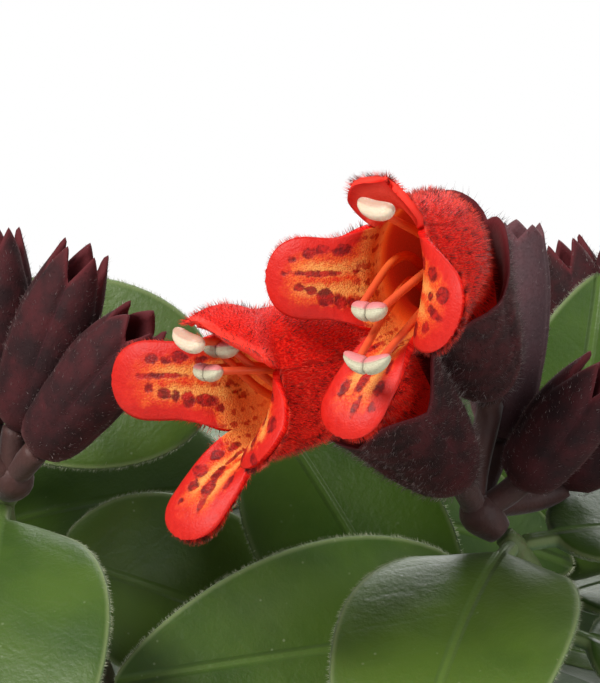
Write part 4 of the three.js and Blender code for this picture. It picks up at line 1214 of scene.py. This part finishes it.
wine = inner.mix((0.14, 0.001, 0.002), (0.50, 0.006, 0.004), ripple.step(0.35, 0.7))
# Painted shade: the inside of the tube is darkened the deeper it goes, as if shade fell into it.
deep = inner.mix((0.72, 0.10, 0.012), (0.40, 0.016, 0.004), inward.step(2, 9))
petal_colour = inner.over(
    edge_red, (ground, to_ground),
    ((0.96, 0.085, 0.05), hooded * margin.step(0.1, 1.4) * 0.9),
    ((0.42, 0.012, 0.006), streak * (1 - inward.step(2, 6)) * 0.8 * (1 - hooded)),
    (wine, spotted * 0.95),
    (deep, inward.step(0.8, 5) * (1 - spotted * (1 - inward.step(3, 8)))))
relief = ripple * 0.6 + (1 - beads) * 0.5 * to_ground - spotted * 0.3
glow = inward.step(0.5, 5) * (1 - inward.step(7, 18) * 0.75) * (1 - spotted * 0.8)
inner.feed(inner.shader.inputs["Emission Color"], inner.mix((0, 0, 0), petal_colour, glow))
PETAL_INSIDE = inner.coat(petal_colour, 0.4 + ripple * 0.2, relief + inner.noise(4.5) * 0.5, 0.12)

red_down = Finish("petal_down", Roughness=0.5)
PETAL_DOWN = red_down.coat(red_down.mix((0.10, 0.002, 0.002), (0.92, 0.06, 0.03),
                                        red_down.noise(0.9).step(0.35, 0.65)), 0.5)


# %% Model a flower's sheet
def edge_hairs(place, count, rng):
    """Hairs along both edges of a lobe, that point away from its middle line."""
    v = 1 - 0.95 * rng.uniform(0.03, 1, count) ** 1.7
    u = np.where(rng.random(count) < 0.5, 0.0, 1.0)
    at, mid, near = place(u, v), np.full_like(u, 0.5), v * 0.9
    across = place(mid + 0.1, near) - place(mid - 0.1, near)
    ahead = place(mid, near + 0.05) - place(mid, near)
    outward = unit(at - place(mid, np.maximum(v - 0.3, 0)))
    way = unit(outward + 0.15 * unit(np.cross(across, ahead)) + rng.normal(0, 0.18, at.shape))
    return stand(at, way, 0.85, rng, sunk=0.1)


def new_petals(name, bloom, node):
    front = bloom["front"]
    columns, rows, lobe_rows = (32, 30, 36) if front else (10, 12, 12)
    sheets, hairs = [], []
    for k, (which, shape) in enumerate(lobe_shapes(bloom).items()):
        place, spot = lobe_rule(bloom, shape)
        own = bloom.get("freckles", FRECKLES)[which]
        hooded = float(which == "hood")

        def marks(u, v, spot=spot, own=own, hooded=hooded):
            x, y, inside = spot(u, v)
            return {"freckle": depth_in(own, x, y), "margin": inside, "inward": 0.0, "ahead": y,
                    "hooded": hooded, "middle": x}

        tube = tube_rule(bloom, shape["middle"], shape["half"])

        def tube_marks(u, v, own=own, hooded=hooded):
            x, deep_in = (u - 0.5) * ROOT_WIDTH, (1 - v) * TUBE_DEPTH
            return {"freckle": depth_in(own, x, -deep_in), "margin": 3.0, "inward": deep_in, "ahead": 0.0,
                    "hooded": hooded * smooth((v - 0.9) / 0.1), "middle": x}

        sheets.append(new_grid("lobe", columns, lobe_rows, place, marks))
        sheets.append(new_grid("tube", columns, rows, tube, tube_marks))
        many_tube, many_lobe, many_edge = (1900, 340, 260 if hooded else 760) if front else (120, 60, 60)
        seed = 7 * k + int(1000 * abs(bloom["throat"][0]))
        at, normal, along, rng = pores(lambda a, b, p=tube: p(a, 0.42 + 0.58 * b), many_tube, seed)
        way = unit(normal - 0.45 * along + rng.normal(0, 0.16, at.shape))
        hairs.append(stand(at, way, 0.8, rng))
        at, normal, along, rng = pores(place, many_lobe, seed + 1)
        way = unit(0.9 * normal + 0.5 * along + rng.normal(0, 0.25, at.shape))
        hairs += [stand(at, way, 0.8, rng), edge_hairs(place, many_edge, rng)]
    sheet = close_up(put_together("sheet", sheets), turn_out=False)
    wear(sheet, GLOWING_PETAL_OUTSIDE, PETAL_INSIDE)
    wall = sheet.modifiers.new("wall", "SOLIDIFY")
    wall.thickness, wall.offset, wall.material_offset = PETAL_WALL * MM, -1, 1
    wall.use_even_offset = False
    settle(sheet, wall)
    coat = new_hairs("coat", hairs, 0.036 if front else 0.05, PETAL_DOWN)
    return hand_over(put_together(name, [sheet, coat]), "petal_red", node)


# %% [markdown]
# ## Stamens
# Four stamens stand round a small disc in the foot of the tube and lean out of its mouth in pairs. The
# tips of a pair are stuck together to one cream crescent with a dark seam. Between them runs the style
# with its pale stigma. Rods are rolled grids along a smooth line, crescents are rolled and bowed.

# %% Finishes for stamens
thread = Finish("filament", Roughness=0.4, Specular_IOR_Level=0.35)
towards_end = thread.mark("height")
FILAMENT = thread.coat(thread.over((0.80, 0.20, 0.03), ((0.76, 0.075, 0.03), towards_end.step(0.5, 0.95)),
                                   ((0.85, 0.24, 0.05), thread.noise(0.8) * 0.3)), 0.4)

pollen_sac = Finish("anther_skin", Roughness=0.5)
seam, tip_end = pollen_sac.mark("ridge"), pollen_sac.mark("lip")
dust = pollen_sac.noise(4, 4)
sac_colour = pollen_sac.over((0.44, 0.40, 0.26), ((0.70, 0.66, 0.48), dust),
                             ((0.72, 0.13, 0.17), tip_end.step(0.25, 0.85) * 0.8),
                             ((0.12, 0.085, 0.06), (1 - seam.step(0.03, 0.15)) * 0.9))
ANTHER = pollen_sac.coat(sac_colour, 0.5, dust * 0.6 + seam.step(0.0, 0.25), 0.12)

stigma_skin = Finish("stigma_skin", Roughness=0.35, Subsurface_Weight=0.15, Subsurface_Scale=0.0006)
blush = stigma_skin.mark("lip")
blush = blush.step(0.35, 0.85) * 0.7 + stigma_skin.noise(2.2) * 0.2
STIGMA = stigma_skin.coat(stigma_skin.mix((0.82, 0.68, 0.5), (0.55, 0.28, 0.2), blush), 0.4,
                          stigma_skin.noise(3), 0.08)


# %% Model the stamens
def new_crescent(middle, bloom, half_width, radius, rise, finish, front, paired=True, tilt=0):
    """A bowed body across the flower with a seam along it and rounded ends."""
    turn = math.radians(tilt)
    side = np.cross(bloom["forward"], bloom["up"]) * math.cos(turn) + bloom["up"] * math.sin(turn)

    def place(u, v):
        angle, across = 2 * np.pi * u, 2 * v - 1
        size = radius * np.sqrt(np.maximum(1 - np.abs(across) ** 3.2, 0)) * (v > 0.001) * (v < 0.999)
        size = size * (1 - 0.2 * paired * np.exp(-((across / 0.1) ** 2)))
        groove = 1 - 0.2 * np.exp(-((np.cos(angle) - 0.15) / 0.22) ** 2) * (np.sin(angle) > 0)
        centre = middle + side * (half_width * across)[:, None] + bloom["up"] * (rise * across**2)[:, None]
        return (centre + bloom["up"] * (size * groove * np.cos(angle) * 0.95)[:, None]
                + bloom["forward"] * (size * groove * np.sin(angle))[:, None])

    def marks(u, v):
        angle = 2 * np.pi * u
        seam = np.abs(np.cos(angle) - 0.15) + (np.sin(angle) < 0)
        split = np.abs(2 * v - 1) * 2.6 + (not paired)
        return {"ridge": np.minimum(seam, split + 0.05), "lip": smooth(np.cos(angle) * 1.3)}
    return wear(new_roll("crescent", *((20, 30) if front else (10, 12)), place, marks), finish)


def new_stamens(name, bloom, node):
    axis, front = tube_axis(bloom), bloom["front"]
    forward, up, throat = bloom["forward"], bloom["up"], bloom["throat"]
    side = np.cross(forward, up)

    def inside(share, angle, spread):
        centre, over, beside = (a[0] for a in axis(np.array([share])))
        return (centre + over * spread * math.cos(math.radians(angle))
                + beside * spread * squeeze(share) * math.sin(math.radians(angle)))

    def outside(before, over, beside):
        return throat + forward * before + up * over + side * beside

    def thread_to(angle, end):
        run = [inside(share, angle, spread) for share, spread in ((0.13, 1.1), (0.5, 2.8), (0.88, 3.8))]
        rule = round_curve(*smooth_line([*run, end]), lambda t: 0.55 - 0.16 * t)
        return wear(new_roll("thread", 10, 30 if front else 12, rule, lambda u, v: {"height": v}), FILAMENT)

    parts = []
    for pair, steps in enumerate(bloom["anthers"]):
        middle = outside(*steps)
        for angle in ([125, 235] if pair else [75, 285]):
            hand = 1 if angle < 180 else -1
            parts.append(thread_to(angle, middle + side * 1.2 * hand + up * 0.3))
        sizes = bloom.get("sizes", [(2.3, 1.05, 0.6)] * 2)[pair]
        parts.append(new_crescent(middle, bloom, *sizes, ANTHER, front))
    stigma = outside(*bloom["stigma"])
    parts += [thread_to(0, stigma), new_crescent(stigma, bloom, 2.1, 1.05, 0.45, STIGMA, front, False,
                                                 bloom.get("stigma_tilt", 0))]
    disc = round_curve(lambda t: axis(0.1 + 0.05 * t)[0],
                       lambda t: unit(axis(0.16 + 0 * t)[0] - axis(0.1 + 0 * t)[0]),
                       lambda t: 1.65 * np.sqrt(np.clip(1 - (2 * t - 1) ** 6, 0, 1)))
    parts.append(wear(new_roll("disc", 16, 12, disc), STIGMA))
    return hand_over(put_together(name, parts), "anther_cream", node)


# %% [markdown]
# ## The bunches
# The front bunch has two open flowers and three shut cups, and its neighbours have shut cups only. A
# flower's lobes are named with what differs from the usual ones, and each anther and stigma with its
# steps before the throat, above it and beside it. The bunches further back are set out by one rule, as
# the solids are: three cups that lean up and outwards, and on some a flower on the middle cup.

# %% Set out the bunches
def shut(foot, mouth, tooth=3.4, dusty=0.1):
    return {"foot": foot, "mouth": mouth, "open": False, "front": True, "tooth": tooth, "dusty": dusty}


BLOOM_A = {
    "cup": {"foot": (20.6, -38, 181.5), "mouth": (14.8, -56.5, 195.5), "open": True, "front": True,
            "tall": 3.6, "tall_at": -45},
    "throat": np.array([9.7, -74, 196.8]), "forward": unit([-0.57, -0.82, 0]),
    "anthers": [(7, -2.8, -1.3), (9.2, -7.8, -2.5)], "stigma": (6.3, 7.1, -1.6), "front": True,
    "lobes": {"hood": dict(aim=-26, length=4.8, width=8.4, leave=22, spread=40, flat=0.2),
              "left": dict(aim=87, width=7.6),
              "lip": dict(aim=166, length=10.8, width=6.4, spread=66),
              "right": dict(aim=240, length=10.2, width=8.6, spread=74)},
    "sizes": [(2.0, 1.05, 0.4), (2.7, 1.0, 1.0)], "stigma_tilt": 8,
}
BLOOM_B = {
    "cup": {"foot": (17.2, -42.5, 172), "mouth": (7.4, -57, 184.5), "open": True, "front": True},
    "throat": np.array([-4.8, -70, 185.6]), "forward": unit([-0.72, -0.69, 0]),
    "anthers": [(6, 1.7, 0), (4.3, 3.9, 0)], "stigma": (8.3, 4.9, 0.3), "front": True,
    "lobes": {"hood": dict(middle=-15, half=60, length=8.6, width=9.6, leave=20, spread=-30, flat=0.05),
              "left": dict(middle=88, half=43, aim=90, length=11, width=7.4),
              "lip": dict(middle=174, aim=167, length=10.8, spread=58),
              "right": dict(middle=251, half=34, aim=214, length=7.2, width=7.4, leave=30, spread=50)},
    "sizes": [(1.9, 0.95, 0.3), (2.6, 0.95, 0.5)], "stigma_tilt": 14, "freckles": FRECKLES_B,
}
BUNCHES = {
    # The tall shut cup here gets 0.8 of the greyish felt layer, which is mostly painted light to make it look
    # lit.
    1: [BLOOM_A["cup"], BLOOM_B["cup"], shut((21.6, -33, 174.8), (23.4, -33.5, 198.4), 1.6, 0.8),
        shut((23, -38, 170.6), (32, -40.5, 183)), shut((28.4, -30, 169.5), (39, -32, 183.5))],
    2: [shut((-30, -50, 178), (-22.8, -53.5, 196.5)), shut((-32.5, -47.5, 178), (-32, -46.5, 198)),
        shut((-28, -51.5, 176), (-16.4, -58, 190.4), 2.2), shut((-34.5, -50, 177), (-44, -55, 193))],
    3: [shut((36, 8.5, 176.5), (31, 9, 192)), shut((37, 9.5, 176.5), (39, 8, 194)),
        shut((38, 11, 175.5), (47, 14, 190))],
}
blooms = {"1a": BLOOM_A, "1b": BLOOM_B}
for index in (4, 5, 7, 9, 12, 13):
    tip = STEMS[index][3]
    outward = unit([tip[0], tip[1], 0])
    sideways = np.cross(UP, outward)
    row = []
    for beside in (-1, 0, 1):
        lean = unit(UP * 0.8 + outward * (0.45 - 0.35 * abs(beside)) + sideways * 0.9 * beside)
        foot = tip + outward * 2 + lean * 8
        row.append({"foot": foot, "mouth": foot + lean * 20, "open": False, "front": False})
    if index in (5, 7, 9, 12):
        row[1]["open"] = True
        axis = unit(row[1]["mouth"] - row[1]["foot"])
        forward = unit(outward + UP * 0.15 + sideways * 0.3 * (scatter(index, 9) - 0.5))
        blooms[str(index + 1)] = {"cup": row[1], "throat": row[1]["mouth"] + axis * 8 + outward * 11,
                                  "forward": forward, "anthers": [(9, -1, 0)], "stigma": (9, 5.5, 0),
                                  "front": False}
    BUNCHES[index + 1] = row

for number, cups in BUNCHES.items():
    line = STEMS[number - 1]
    made = new_bunch(number, line[3], arc_way(line, np.array([1.0]))[0], cups)
    print(made.name, "triangles about", 2 * len(made.data.polygons))
for name, bloom in blooms.items():
    bloom["up"] = square_to(UP, bloom["forward"])
    sheet = new_petals(f"flower_{name}", bloom, f"petals_{name}")
    new_stamens(f"stamens_and_style_{name}", bloom, f"stamens_{name}")
    print(sheet.name, "triangles about", 2 * len(sheet.data.polygons))
